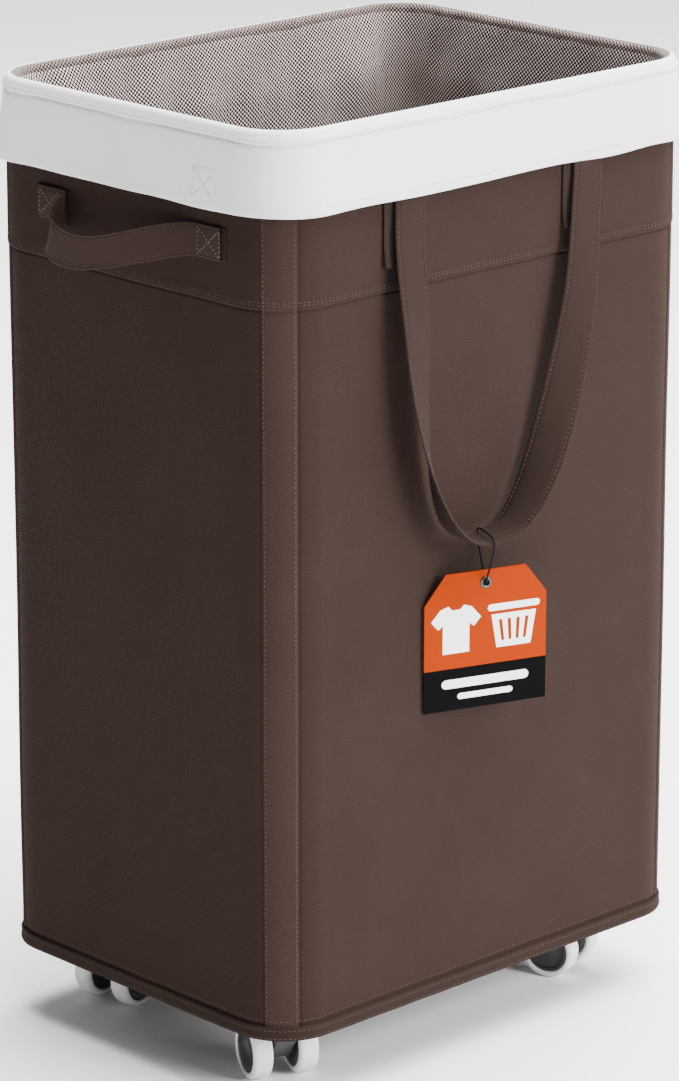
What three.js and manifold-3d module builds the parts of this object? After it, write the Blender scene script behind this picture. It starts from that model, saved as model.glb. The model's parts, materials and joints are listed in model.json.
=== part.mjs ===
// A tall rolling laundry hamper: a fabric box held up by a rim wire and four corner poles on a
// stiff base board, with a lift-out mesh liner, two carrying straps, two side handles, a hang
// tag and four twin-wheel swivel casters. Millimetres, +Z up, origin on the floor under the
// middle of the base. -Y is the front, -X is the left side.
import * as THREE from 'three';
import { mergeVertices } from 'three/addons/utils/BufferGeometryUtils.js';
import Module from 'manifold-3d';

const wasm = await Module();
wasm.setup();

// ---------------------------------------------------------------- driving dimensions
const BODY_LENGTH = 400; // outside of the box, along X
const BODY_WIDTH = 296; // outside of the box, along Y
const BODY_HEIGHT = 632; // underside of the base board to the top of the rim hem
const CORNER_RADIUS = 40; // vertical corners, outside
const PANEL_THICKNESS = 1.6; // two layers of oxford fabric with a stiffener

const GAP = 0.3; // between pieces that touch
const CORNER_STEPS = 6; // facets in a quarter turn of the box outline

const BOARD_THICKNESS = 3;
const BINDING_HEIGHT = 10;
const BINDING_THICKNESS = 2;

const HEM_HEIGHT = 12;
const HEM_WIDTH = 6.4;
const HEM_THICKNESS = 0.8;
const RIM_WIRE_DIAMETER = 4;
const POLE_DIAMETER = 4.4;

const LINER_THICKNESS = 1.2;
const LINER_LIP = 14; // how far the collar turns down inside the rim
const COLLAR_DROP = 57; // how far the collar hangs down outside the rim
const COLLAR_FLARE = 6.5; // how far its lower edge stands off the box

const STRAP_WIDTH = 28;
const STRAP_THICKNESS = 1.6;
const STRAP_SPAN = 170; // between the middles of the two legs
const STRAP_SKEW = -24; // the lowest point of the loop, to the left of its middle
const STRAP_DROP = 240; // hinge line to the lowest point of the loop
const STRAP_STANDOFF = 12; // hinge line in front of the wall
const STRAP_BELLY = 6; // extra standoff at the bottom of the loop
const ANCHOR_HEIGHT = 40;
const ANCHOR_SHIFT = -8; // the sewn ends peep out to the left of the legs

const HANDLE_WIDTH = 23;
const HANDLE_SPAN = 130; // between the two sewn patches
const HANDLE_BULGE = 32; // how far it stands out at the middle
const HANDLE_SAG = 21;
const HANDLE_SHIFT = -5; // towards the front on the left side, the rear on the right
const HANDLE_BELOW_COLLAR = 10;
const PATCH_LENGTH = 30;

const TAG_WIDTH = 93;
const TAG_HEIGHT = 98;
const TAG_THICKNESS = 1.2;
const TAG_CHAMFER_WIDTH = 16;
const TAG_CHAMFER_HEIGHT = 21;
const TAG_TURN = (-19 * Math.PI) / 180; // the tag hangs turned towards the left side
const EYELET_INSET = 9;
const EYELET_RADIUS = 2.5;
const STRING_DIAMETER = 1.4;
const STRING_DROP = 31; // strap to eyelet

const WHEEL_RADIUS = 21;
const TREAD_WIDTH = 15;
const WHEEL_SPACING = 34; // between the middles of the two wheels of a caster
const TREAD_THICKNESS = 4.5;
const AXLE_RADIUS = 2;
const AXLE_CLEARANCE = 0.3;
const STEM_RADIUS = 4;
const CASTER_TRAIL = 15; // swivel axis to axle
const CASTER_HEIGHT = 54; // floor to the underside of the base board
const CASTER_INSET = 52; // box side to swivel axis
const PLATE_RADIUS = 21;
const PLATE_THICKNESS = 2.4;

// ---------------------------------------------------------------- levels that follow
const baseZ = CASTER_HEIGHT;
const boardTop = baseZ + BOARD_THICKNESS;
const rimZ = baseZ + BODY_HEIGHT;
const wallTop = rimZ - HEM_HEIGHT;
const collarBottom = rimZ - COLLAR_DROP;
const strapZ = collarBottom - 4;
const strapY = -(BODY_WIDTH / 2 + STRAP_STANDOFF);
const strapBottom = strapZ - STRAP_DROP;
const handleTop = collarBottom - HANDLE_BELOW_COLLAR;
const tagY = strapY - STRAP_BELLY;
const hubRadius = WHEEL_RADIUS - TREAD_THICKNESS - GAP;

// ---------------------------------------------------------------- materials
const finish = (color, roughness, metalness = 0) =>
  new THREE.MeshStandardMaterial({ color, roughness, metalness });
const shellFabric = finish(0x5f4c45, 0.85);
const webbing = finish(0x5a4740, 0.8);
const linerMesh = finish(0xe8dcd4, 0.9);
const collarFabric = finish(0xe4e4e2, 0.9);
const boardMaterial = finish(0x6a5248, 0.9);
const steel = finish(0xb8b8ba, 0.35, 0.9);
const tyreWhite = finish(0xe6e6e4, 0.5);
const plasticBlack = finish(0x1c1c1c, 0.45);
const tagCard = finish(0xff6a00, 0.6);
const stringBlack = finish(0x111111, 0.8);

const hamper = new THREE.Group();

function put(name, geometry, material, parent = hamper) {
  const mesh = new THREE.Mesh(geometry, material);
  mesh.name = name;
  parent.add(mesh);
  return mesh;
}

// ---------------------------------------------------------------- shape helpers
// Points of the box outline moved outwards by `offset`, at height z, anticlockwise from above.
function outline(offset, z) {
  const radius = CORNER_RADIUS + offset;
  const halfX = BODY_LENGTH / 2 - CORNER_RADIUS;
  const halfY = BODY_WIDTH / 2 - CORNER_RADIUS;
  const points = [];
  for (const [sx, sy, quarter] of [[1, 1, 0], [-1, 1, 1], [-1, -1, 2], [1, -1, 3]]) {
    for (let i = 0; i <= CORNER_STEPS; i++) {
      const angle = ((quarter + i / CORNER_STEPS) * Math.PI) / 2;
      const x = sx * halfX + radius * Math.cos(angle);
      const y = sy * halfY + radius * Math.sin(angle);
      points.push(new THREE.Vector3(x, y, z));
    }
  }
  return points;
}

// A closed solid skinned over a row of rings. With joined, the last ring runs into the first;
// otherwise the two end rings are capped. turned(i) says on which sides the quads are split
// along their other diagonal.
function skin(rings, joined, turned = () => false) {
  const n = rings[0].length;
  const positions = rings.flat().flatMap((p) => [p.x, p.y, p.z]);
  const index = [];
  const last = joined ? rings.length : rings.length - 1;
  for (let r = 0; r < last; r++) {
    const low = r * n;
    const high = ((r + 1) % rings.length) * n;
    for (let i = 0; i < n; i++) {
      const j = (i + 1) % n;
      if (turned(i)) index.push(low + i, low + j, high + i, low + j, high + j, high + i);
      else index.push(low + i, low + j, high + j, low + i, high + j, high + i);
    }
  }
  if (!joined) {
    const top = (rings.length - 1) * n;
    for (let i = 1; i < n - 1; i++) {
      index.push(0, i + 1, i);
      index.push(top, top + i, top + i + 1);
    }
  }
  const geometry = new THREE.BufferGeometry();
  geometry.setAttribute('position', new THREE.Float32BufferAttribute(positions, 3));
  geometry.setIndex(signedVolume(positions, index) < 0 ? index.reverse() : index);
  return geometry;
}

function signedVolume(positions, index) {
  const at = (k) => new THREE.Vector3().fromArray(positions, 3 * k);
  let volume = 0;
  for (let i = 0; i < index.length; i += 3) {
    volume += at(index[i]).dot(at(index[i + 1]).cross(at(index[i + 2])));
  }
  return volume;
}

// A ring all round the box from a closed profile of [offset, z] points.
const hoop = (profile) => skin(profile.map(([offset, z]) => outline(offset, z)), true);

// A ribbon of rectangular section. frames is a list of {point, across, out}: across lies along
// the ribbon's width and out along its thickness. Its two faces share their diagonals, so that it
// stays equally thick where it twists.
function ribbon(frames, width, thickness) {
  const rings = frames.map(({ point, across, out }) =>
    [[-1, -1], [1, -1], [1, 1], [-1, 1]].map(([u, v]) =>
      point.clone()
        .addScaledVector(across, (u * width) / 2)
        .addScaledVector(out, (v * thickness) / 2)));
  return skin(rings, false, (side) => side === 2);
}

function extruded(shape, depth, curveSegments = 8) {
  return new THREE.ExtrudeGeometry(shape, { depth, bevelEnabled: false, curveSegments });
}

function toManifold(geometry) {
  const bare = geometry.clone();
  bare.deleteAttribute('normal');
  bare.deleteAttribute('uv');
  const merged = mergeVertices(bare, 1e-4);
  return new wasm.Manifold(new wasm.Mesh({
    numProp: 3,
    vertProperties: new Float32Array(merged.attributes.position.array),
    triVerts: new Uint32Array(merged.index.array),
  }));
}

function fromManifold(solid) {
  const mesh = solid.getMesh();
  const geometry = new THREE.BufferGeometry();
  geometry.setAttribute('position', new THREE.BufferAttribute(mesh.vertProperties, 3));
  geometry.setIndex(new THREE.BufferAttribute(mesh.triVerts, 1));
  return geometry;
}

function cylinder(radius, low, high, segments = 20) {
  const geometry = new THREE.CylinderGeometry(radius, radius, high - low, segments);
  geometry.rotateX(Math.PI / 2);
  geometry.translate(0, 0, (low + high) / 2);
  return geometry;
}

// ---------------------------------------------------------------- the fabric box
function addWalls() {
  const height = wallTop - baseZ;
  const z = baseZ + height / 2;
  const straightX = BODY_LENGTH - 2 * CORNER_RADIUS - 2 * GAP;
  const straightY = BODY_WIDTH - 2 * CORNER_RADIUS - 2 * GAP;
  const inX = (BODY_LENGTH - PANEL_THICKNESS) / 2;
  const inY = (BODY_WIDTH - PANEL_THICKNESS) / 2;
  for (const [name, side] of [['front_panel', -1], ['back_panel', 1]]) {
    const wall = new THREE.BoxGeometry(straightX, PANEL_THICKNESS, height);
    put(name, wall, shellFabric).position.set(0, side * inY, z);
  }
  for (const [name, side] of [['left_panel', -1], ['right_panel', 1]]) {
    const wall = new THREE.BoxGeometry(PANEL_THICKNESS, straightY, height);
    put(name, wall, shellFabric).position.set(side * inX, 0, z);
  }
}

const CORNERS = [
  { name: 'rear_right', sx: 1, sy: 1 },
  { name: 'rear_left', sx: -1, sy: 1 },
  { name: 'front_left', sx: -1, sy: -1 },
  { name: 'front_right', sx: 1, sy: -1 },
];

function addCorners() {
  const sleeve = new THREE.Shape();
  const inner = CORNER_RADIUS - PANEL_THICKNESS;
  sleeve.absarc(0, 0, CORNER_RADIUS, 0, Math.PI / 2, false);
  sleeve.absarc(0, 0, inner, Math.PI / 2, 0, true);
  const poleRadius = POLE_DIAMETER / 2;
  const poleAt = (inner - GAP - poleRadius) * Math.SQRT1_2;
  CORNERS.forEach(({ name, sx, sy }, quarter) => {
    const corner = new THREE.Group();
    corner.position.set(
      sx * (BODY_LENGTH / 2 - CORNER_RADIUS),
      sy * (BODY_WIDTH / 2 - CORNER_RADIUS),
      0,
    );
    corner.rotation.z = (quarter * Math.PI) / 2;
    hamper.add(corner);
    const wall = extruded(sleeve, wallTop - baseZ, CORNER_STEPS / 2);
    put(`corner_sleeve_${name}`, wall, shellFabric, corner).position.z = baseZ;
    const pole = cylinder(poleRadius, boardTop + GAP, wallTop - GAP, 10);
    put(`corner_pole_${name}`, pole, steel, corner).position.set(poleAt, poleAt, 0);
  });
}

function addRim() {
  const outer = HEM_THICKNESS;
  const inner = HEM_WIDTH - HEM_THICKNESS;
  const low = wallTop + GAP;
  const shoulder = 2.2;
  const hem = [
    [0, low], [0, rimZ - shoulder], [-1.3, rimZ - 0.4], [-HEM_WIDTH / 2, rimZ],
    [1.3 - HEM_WIDTH, rimZ - 0.4], [-HEM_WIDTH, rimZ - shoulder], [-HEM_WIDTH, low],
    [-inner, low], [-inner, rimZ - shoulder - 0.2], [0.8 - inner, rimZ - 1.2],
    [-HEM_WIDTH / 2, rimZ - HEM_THICKNESS], [-0.8 - outer, rimZ - 1.2],
    [-outer, rimZ - shoulder - 0.2], [-outer, low],
  ];
  put('rim_hem', hoop(hem), shellFabric);
  const radius = RIM_WIRE_DIAMETER / 2;
  const middle = rimZ - HEM_THICKNESS - GAP - radius - 0.8;
  const wire = [];
  for (let i = 0; i < 8; i++) {
    const angle = (i * Math.PI) / 4;
    wire.push([-HEM_WIDTH / 2 + radius * Math.cos(angle), middle + radius * Math.sin(angle)]);
  }
  put('rim_wire', hoop(wire), steel);
}

function addBase() {
  const low = outline(-PANEL_THICKNESS - GAP, baseZ);
  const high = outline(-PANEL_THICKNESS - GAP, boardTop);
  put('base_board', skin([low, high], false), boardMaterial);
  const inside = GAP;
  const outside = GAP + BINDING_THICKNESS;
  const top = baseZ + BINDING_HEIGHT;
  const soft = BINDING_THICKNESS / 2;
  put('base_binding', hoop([
    [inside, baseZ], [outside - soft, baseZ], [outside, baseZ + soft],
    [outside, top - soft], [outside - soft, top], [inside, top],
  ]), webbing);
}

// ---------------------------------------------------------------- the lift-out liner
function addLiner() {
  const bagOut = -HEM_WIDTH - GAP;
  const bagIn = bagOut - LINER_THICKNESS;
  const bagTop = rimZ - LINER_LIP - GAP;
  const bagLow = boardTop + 2 * GAP;
  put('liner_bag', skin([
    outline(bagOut, bagLow), outline(bagOut, bagTop),
    outline(bagIn, bagTop), outline(bagIn, bagLow + LINER_THICKNESS),
  ], false), linerMesh);
  const t = LINER_THICKNESS;
  const lift = rimZ + GAP;
  put('liner_collar', hoop([
    [bagOut, rimZ - LINER_LIP], [bagOut, rimZ - 2], [GAP - HEM_WIDTH, lift],
    [0, lift], [GAP, rimZ - 2], [COLLAR_FLARE * 0.55, rimZ - COLLAR_DROP * 0.35],
    [COLLAR_FLARE, collarBottom], [COLLAR_FLARE + t, collarBottom],
    [COLLAR_FLARE * 0.55 + t, rimZ - COLLAR_DROP * 0.35], [GAP + t, rimZ - 1.2],
    [0.4, lift + t], [-HEM_WIDTH - 0.2, lift + t], [bagIn, rimZ - 1.2], [bagIn, rimZ - LINER_LIP],
  ]), collarFabric);
}

// ---------------------------------------------------------------- carrying straps
// The loop hangs in a U that turns over as it goes down, so its outer face looks up at the
// bottom. Each half is the quarter of a superellipse.
function strapFrames() {
  const frames = [];
  const steps = 32;
  const spanPower = 2 / 2.6;
  const dropPower = 2 / 1.6;
  for (let i = 0; i <= steps; i++) {
    const angle = (i / steps) * Math.PI;
    const side = Math.cos(angle);
    const down = Math.sin(angle);
    const fall = Math.abs(down) < 1e-9 ? 0 : Math.pow(down, dropPower);
    const reach = -Math.sign(side) * Math.pow(Math.abs(side), spanPower) * (STRAP_SPAN / 2);
    const x = reach + STRAP_SKEW * fall;
    const point = new THREE.Vector3(x, strapY - STRAP_BELLY * fall, strapZ - STRAP_DROP * fall);
    frames.push({ point, fall, side });
  }
  frames.forEach((frame, i) => {
    const before = frames[Math.max(i - 1, 0)].point;
    const after = frames[Math.min(i + 1, steps)].point;
    const along = after.clone().sub(before).normalize();
    const roll = (frame.fall * Math.PI) / 2;
    const flat = new THREE.Vector3(0, -1, 0);
    const inward = along.clone().cross(flat).normalize().multiplyScalar(-1);
    const level = along.clone().cross(inward).normalize();
    frame.out = level.clone().multiplyScalar(Math.cos(roll)).addScaledVector(inward, Math.sin(roll));
    frame.across = frame.out.clone().cross(along).normalize();
  });
  return frames;
}

function addStrap(side, turn) {
  const group = new THREE.Group();
  group.rotation.z = turn;
  hamper.add(group);
  put(`${side}_strap`, ribbon(strapFrames(), STRAP_WIDTH, STRAP_THICKNESS), webbing, group);
  const y = -(BODY_WIDTH / 2 + GAP + STRAP_THICKNESS / 2);
  const reach = [['left', -1], ['right', 1]];
  for (const [end, sx] of side === 'front' ? reach : [['right', -1], ['left', 1]]) {
    const anchor = new THREE.BoxGeometry(STRAP_WIDTH, STRAP_THICKNESS, ANCHOR_HEIGHT);
    const sewn = put(`${side}_strap_anchor_${end}`, anchor, webbing, group);
    sewn.position.set((sx * STRAP_SPAN) / 2 + ANCHOR_SHIFT, y, strapZ - ANCHOR_HEIGHT / 2);
  }
}

// ---------------------------------------------------------------- side handles
function addHandle(side, turn) {
  const group = new THREE.Group();
  group.rotation.z = turn;
  hamper.add(group);
  const wall = -(BODY_LENGTH / 2 + GAP);
  const start = wall - STRAP_THICKNESS;
  const middle = handleTop - HANDLE_WIDTH / 2;
  const frames = [];
  const steps = 14;
  for (let i = 0; i <= steps; i++) {
    const u = (2 * i) / steps - 1;
    const swell = Math.pow(Math.cos((u * Math.PI) / 2), 1.4);
    const x = start - STRAP_THICKNESS / 2 - HANDLE_BULGE * swell;
    const y = (u * HANDLE_SPAN) / 2 + HANDLE_SHIFT;
    frames.push({ point: new THREE.Vector3(x, y, middle - HANDLE_SAG * swell) });
  }
  frames.forEach((frame, i) => {
    const before = frames[Math.max(i - 1, 0)].point;
    const after = frames[Math.min(i + 1, steps)].point;
    const along = after.clone().sub(before).normalize();
    if (i % steps === 0) along.set(0, 1, 0);
    frame.out = along.clone().cross(new THREE.Vector3(0, 0, -1)).normalize();
    frame.across = frame.out.clone().cross(along).normalize();
  });
  put(`${side}_handle`, ribbon(frames, HANDLE_WIDTH, STRAP_THICKNESS), webbing, group);
  const ends = side === 'left' ? [['front', -1], ['rear', 1]] : [['rear', -1], ['front', 1]];
  for (const [end, sy] of ends) {
    const patch = new THREE.BoxGeometry(STRAP_THICKNESS, PATCH_LENGTH, HANDLE_WIDTH);
    const sewn = put(`${side}_handle_patch_${end}`, patch, webbing, group);
    const y = sy * (HANDLE_SPAN / 2 + GAP + PATCH_LENGTH / 2) + HANDLE_SHIFT;
    sewn.position.set(wall - STRAP_THICKNESS / 2, y, middle);
  }
}

// ---------------------------------------------------------------- hang tag
function addTag() {
  const eyeletZ = strapBottom - STRING_DROP;
  const top = eyeletZ + EYELET_INSET;
  const half = TAG_WIDTH / 2;
  const card = new THREE.Shape();
  card.moveTo(-half, top - TAG_HEIGHT);
  card.lineTo(half, top - TAG_HEIGHT);
  card.lineTo(half, top - TAG_CHAMFER_HEIGHT);
  card.lineTo(half - TAG_CHAMFER_WIDTH, top);
  card.lineTo(TAG_CHAMFER_WIDTH - half, top);
  card.lineTo(-half, top - TAG_CHAMFER_HEIGHT);
  const eyelet = new THREE.Path();
  eyelet.absarc(0, eyeletZ, EYELET_RADIUS, 0, 2 * Math.PI, true);
  card.holes.push(eyelet);
  const plate = extruded(card, TAG_THICKNESS, 6);
  plate.rotateX(Math.PI / 2);
  plate.translate(0, TAG_THICKNESS / 2, 0);
  plate.rotateZ(TAG_TURN);
  put('hang_tag', plate, tagCard).position.set(STRAP_SKEW, tagY, 0);

  const route = new THREE.CatmullRomCurve3([
    new THREE.Vector3(-0.8, tagY - 1.6, eyeletZ),
    new THREE.Vector3(-0.8, tagY - 3, eyeletZ + 4),
    new THREE.Vector3(-0.6, tagY - 10, eyeletZ + 16),
    new THREE.Vector3(-0.4, tagY - 16, strapBottom - 2),
    new THREE.Vector3(-0.2, tagY - 13, strapBottom + 3.4),
    new THREE.Vector3(0, tagY, strapBottom + 4.4),
    new THREE.Vector3(0.2, tagY + 13, strapBottom + 3.4),
    new THREE.Vector3(0.4, tagY + 16, strapBottom - 2),
    new THREE.Vector3(0.6, tagY + 10, eyeletZ + 16),
    new THREE.Vector3(0.8, tagY + 3, eyeletZ + 4),
    new THREE.Vector3(0.8, tagY + 1.6, eyeletZ),
  ]);
  const section = new THREE.Shape();
  const sides = 8;
  for (let i = 0; i < sides; i++) {
    const angle = (2 * Math.PI * i) / sides;
    const x = (STRING_DIAMETER / 2) * Math.cos(angle);
    const y = (STRING_DIAMETER / 2) * Math.sin(angle);
    if (i === 0) section.moveTo(x, y);
    else section.lineTo(x, y);
  }
  const string = new THREE.ExtrudeGeometry(section, { steps: 36, extrudePath: route, bevelEnabled: false });
  put('tag_string', string, stringBlack).position.x = STRAP_SKEW;
}

// ---------------------------------------------------------------- casters
// Angles of the axles at rest, anticlockwise from +X seen from above.
const CASTERS = [
  { name: 'rear_right', sx: 1, sy: 1, axleAngle: 130 },
  { name: 'rear_left', sx: -1, sy: 1, axleAngle: -81 },
  { name: 'front_left', sx: -1, sy: -1, axleAngle: -22 },
  { name: 'front_right', sx: 1, sy: -1, axleAngle: 19 },
];

const plateTop = baseZ - GAP;
const plateLow = plateTop - PLATE_THICKNESS;
const hoodTop = plateLow - GAP;
const webHalf = WHEEL_SPACING / 2 - TREAD_WIDTH / 2 - 1;

// The fork is a hood between the wheels: its web is cut from a plate and carries the stem.
function forkGeometry() {
  const shape = new THREE.Shape();
  const boss = AXLE_RADIUS + 5;
  const neck = STEM_RADIUS + 6;
  shape.absarc(CASTER_TRAIL, WHEEL_RADIUS, boss, -0.75 * Math.PI, 0.15 * Math.PI, false);
  shape.lineTo(CASTER_TRAIL + boss, hoodTop - 8);
  shape.lineTo(CASTER_TRAIL + 2, hoodTop);
  shape.lineTo(-neck, hoodTop);
  shape.lineTo(-neck, hoodTop - 7);
  const bore = new THREE.Path();
  bore.absarc(CASTER_TRAIL, WHEEL_RADIUS, AXLE_RADIUS + AXLE_CLEARANCE, 0, 2 * Math.PI, true);
  shape.holes.push(bore);
  const web = extruded(shape, 2 * webHalf, 8);
  web.translate(0, 0, -webHalf);
  web.rotateX(Math.PI / 2);
  web.rotateZ(Math.PI / 2);
  const stem = cylinder(STEM_RADIUS, hoodTop - 4, baseZ - 1.5 * GAP, 16);
  return fromManifold(toManifold(web).add(toManifold(stem)));
}

function lathed(profile, segments = 28) {
  const geometry = new THREE.LatheGeometry(profile.map(([r, h]) => new THREE.Vector2(r, h)), segments);
  geometry.rotateZ(-Math.PI / 2);
  return geometry;
}

// Wheel shapes run along +X, outwards from the middle of the caster.
function tyreGeometry() {
  const near = WHEEL_SPACING / 2 - TREAD_WIDTH / 2;
  const far = near + TREAD_WIDTH;
  const bore = hubRadius + GAP;
  const round = 2;
  return lathed([
    [bore, near], [WHEEL_RADIUS - round, near], [WHEEL_RADIUS, near + round],
    [WHEEL_RADIUS, far - round], [WHEEL_RADIUS - round, far], [bore, far], [bore, near],
  ]);
}

function hubGeometry() {
  const near = WHEEL_SPACING / 2 - TREAD_WIDTH / 2;
  const far = near + TREAD_WIDTH - 0.6;
  const bore = AXLE_RADIUS + AXLE_CLEARANCE;
  const wall = 3;
  return lathed([
    [bore, near], [hubRadius, near], [hubRadius, far - 1], [hubRadius - 1, far],
    [0, far], [0, far - wall], [bore, far - wall], [bore, near],
  ]);
}

function addCaster({ name, sx, sy, axleAngle }) {
  const swivel = new THREE.Group();
  swivel.position.set(
    sx * (BODY_LENGTH / 2 - CASTER_INSET),
    sy * (BODY_WIDTH / 2 - CASTER_INSET),
    0,
  );
  hamper.add(swivel);
  const disc = new THREE.Shape();
  disc.absarc(0, 0, PLATE_RADIUS, 0, 2 * Math.PI, false);
  const hole = new THREE.Path();
  hole.absarc(0, 0, STEM_RADIUS + AXLE_CLEARANCE, 0, 2 * Math.PI, true);
  disc.holes.push(hole);
  put(`caster_plate_${name}`, extruded(disc, PLATE_THICKNESS, 10), plasticBlack, swivel).position.z = plateLow;

  const head = new THREE.Group();
  head.rotation.z = THREE.MathUtils.degToRad(axleAngle);
  swivel.add(head);
  put(`caster_fork_${name}`, forkGeometry(), plasticBlack, head);
  const reach = WHEEL_SPACING / 2 + TREAD_WIDTH / 2 - 5;
  const pin = new THREE.CylinderGeometry(AXLE_RADIUS, AXLE_RADIUS, 2 * reach, 12);
  pin.rotateZ(Math.PI / 2);
  put(`caster_axle_${name}`, pin, steel, head).position.set(0, CASTER_TRAIL, WHEEL_RADIUS);
  for (const [side, turn] of [['a', 0], ['b', Math.PI]]) {
    const wheel = new THREE.Group();
    wheel.position.set(0, CASTER_TRAIL, WHEEL_RADIUS);
    wheel.rotation.z = turn;
    head.add(wheel);
    put(`tyre_${name}_${side}`, tyreGeometry(), tyreWhite, wheel);
    put(`hub_${name}_${side}`, hubGeometry(), plasticBlack, wheel);
  }
}

addWalls();
addCorners();
addRim();
addBase();
addLiner();
addStrap('front', 0);
addStrap('back', Math.PI);
addHandle('left', 0);
addHandle('right', Math.PI);
addTag();
CASTERS.forEach(addCaster);

export default hamper;
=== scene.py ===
"""Looks of the rolling laundry hamper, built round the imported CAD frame. Metres, +Z up."""
import json
import math

import bmesh
import bpy
import numpy as np
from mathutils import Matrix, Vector
from mathutils.geometry import tessellate_polygon


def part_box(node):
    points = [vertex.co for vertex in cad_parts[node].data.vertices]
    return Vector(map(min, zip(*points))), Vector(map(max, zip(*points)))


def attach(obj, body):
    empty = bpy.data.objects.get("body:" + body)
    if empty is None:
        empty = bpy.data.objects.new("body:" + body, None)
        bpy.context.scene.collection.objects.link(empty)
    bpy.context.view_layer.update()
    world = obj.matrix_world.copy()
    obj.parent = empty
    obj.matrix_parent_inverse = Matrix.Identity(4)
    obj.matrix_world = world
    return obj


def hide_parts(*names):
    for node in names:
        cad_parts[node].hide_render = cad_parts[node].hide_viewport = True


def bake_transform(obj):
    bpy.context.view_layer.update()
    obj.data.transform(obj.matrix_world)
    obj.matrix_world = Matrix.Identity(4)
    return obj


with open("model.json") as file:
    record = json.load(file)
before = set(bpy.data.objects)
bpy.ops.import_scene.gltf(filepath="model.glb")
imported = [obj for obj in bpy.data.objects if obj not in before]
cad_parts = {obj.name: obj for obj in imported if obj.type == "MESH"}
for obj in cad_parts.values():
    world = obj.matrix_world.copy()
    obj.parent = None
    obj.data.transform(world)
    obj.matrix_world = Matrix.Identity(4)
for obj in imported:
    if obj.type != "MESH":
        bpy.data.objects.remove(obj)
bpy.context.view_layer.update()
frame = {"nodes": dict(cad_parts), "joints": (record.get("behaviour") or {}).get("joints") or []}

MM = 0.001
TAU = 2 * math.pi

# ---------------------------------------- sizes from the frame
HALF_L = -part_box("left_panel")[0].x
HALF_W = -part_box("front_panel")[0].y
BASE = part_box("base_board")[0].z
BOARD_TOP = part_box("base_board")[1].z
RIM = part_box("rim_hem")[1].z
WALL_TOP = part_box("front_panel")[1].z
COLLAR_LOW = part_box("liner_collar")[0].z
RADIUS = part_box("corner_sleeve_front_left")[1].x + HALF_L
STRAIGHT_X = 2 * (HALF_L - RADIUS)
STRAIGHT_Y = 2 * (HALF_W - RADIUS)
ARC = RADIUS * math.pi / 2
ROUND = 2 * (STRAIGHT_X + STRAIGHT_Y) + 4 * ARC
BAND_SEAM = RIM - 118 * MM
TAG_LOW, TAG_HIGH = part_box("hang_tag")
TAG_MIDDLE = (TAG_LOW + TAG_HIGH) / 2
TAG_TURN = math.radians(-19)
TAG_FRONT = 0.6 * MM  # half the card's thickness
EYELET_DROP = 9 * MM  # from the tag's top edge down to the eyelet
STRING_DROP = 31 * MM  # from the strap's bottom down to the eyelet
STRIP_HALF = 12 * MM  # half width of the corner strips between their seams
STITCH_PITCH = 3.4 * MM
WALL_THICK = 1.7 * MM
HEM_WIDTH = 6.4 * MM
HEM_CLOTH = 0.7 * MM
COLLAR_CLOTH = 0.6 * MM
TAPE_CLOTH = 0.35 * MM
NET_PITCH = 3.3 * MM  # the same for both layers of net, so that their holes line up
LOOP_THICK = 1.7 * MM  # webbing of the straps and handles
LOOP_CUP = 0.3 * MM  # how far their middle bows out
SEWN_THICK = 1.5 * MM  # webbing where it is sewn down
CORNERS = ("front_left", "front_right", "rear_left", "rear_right")

# ---------------------------------------- camera
CAMERA_AZIMUTH = math.radians(-43.64)
CAMERA_ELEVATION = math.radians(16.94)
CAMERA_DISTANCE = 3.1466
CAMERA_TARGET = Vector((-0.1487, -0.1521, 0.4067))
CAMERA_LENS = 157.6


def make_camera():
    data = bpy.data.cameras.new("camera")
    camera = bpy.data.objects.new("camera", data)
    bpy.context.scene.collection.objects.link(camera)
    flat = math.cos(CAMERA_ELEVATION)
    back = Vector((
        math.sin(CAMERA_AZIMUTH) * flat,
        -math.cos(CAMERA_AZIMUTH) * flat,
        math.sin(CAMERA_ELEVATION),
    ))
    camera.location = CAMERA_TARGET + back * CAMERA_DISTANCE
    camera.rotation_mode = "QUATERNION"
    camera.rotation_quaternion = (-back).to_track_quat("-Z", "Y")
    data.sensor_width = 36
    data.lens = CAMERA_LENS
    data.clip_start = 0.05
    data.clip_end = 50
    bpy.context.scene.camera = camera


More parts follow.
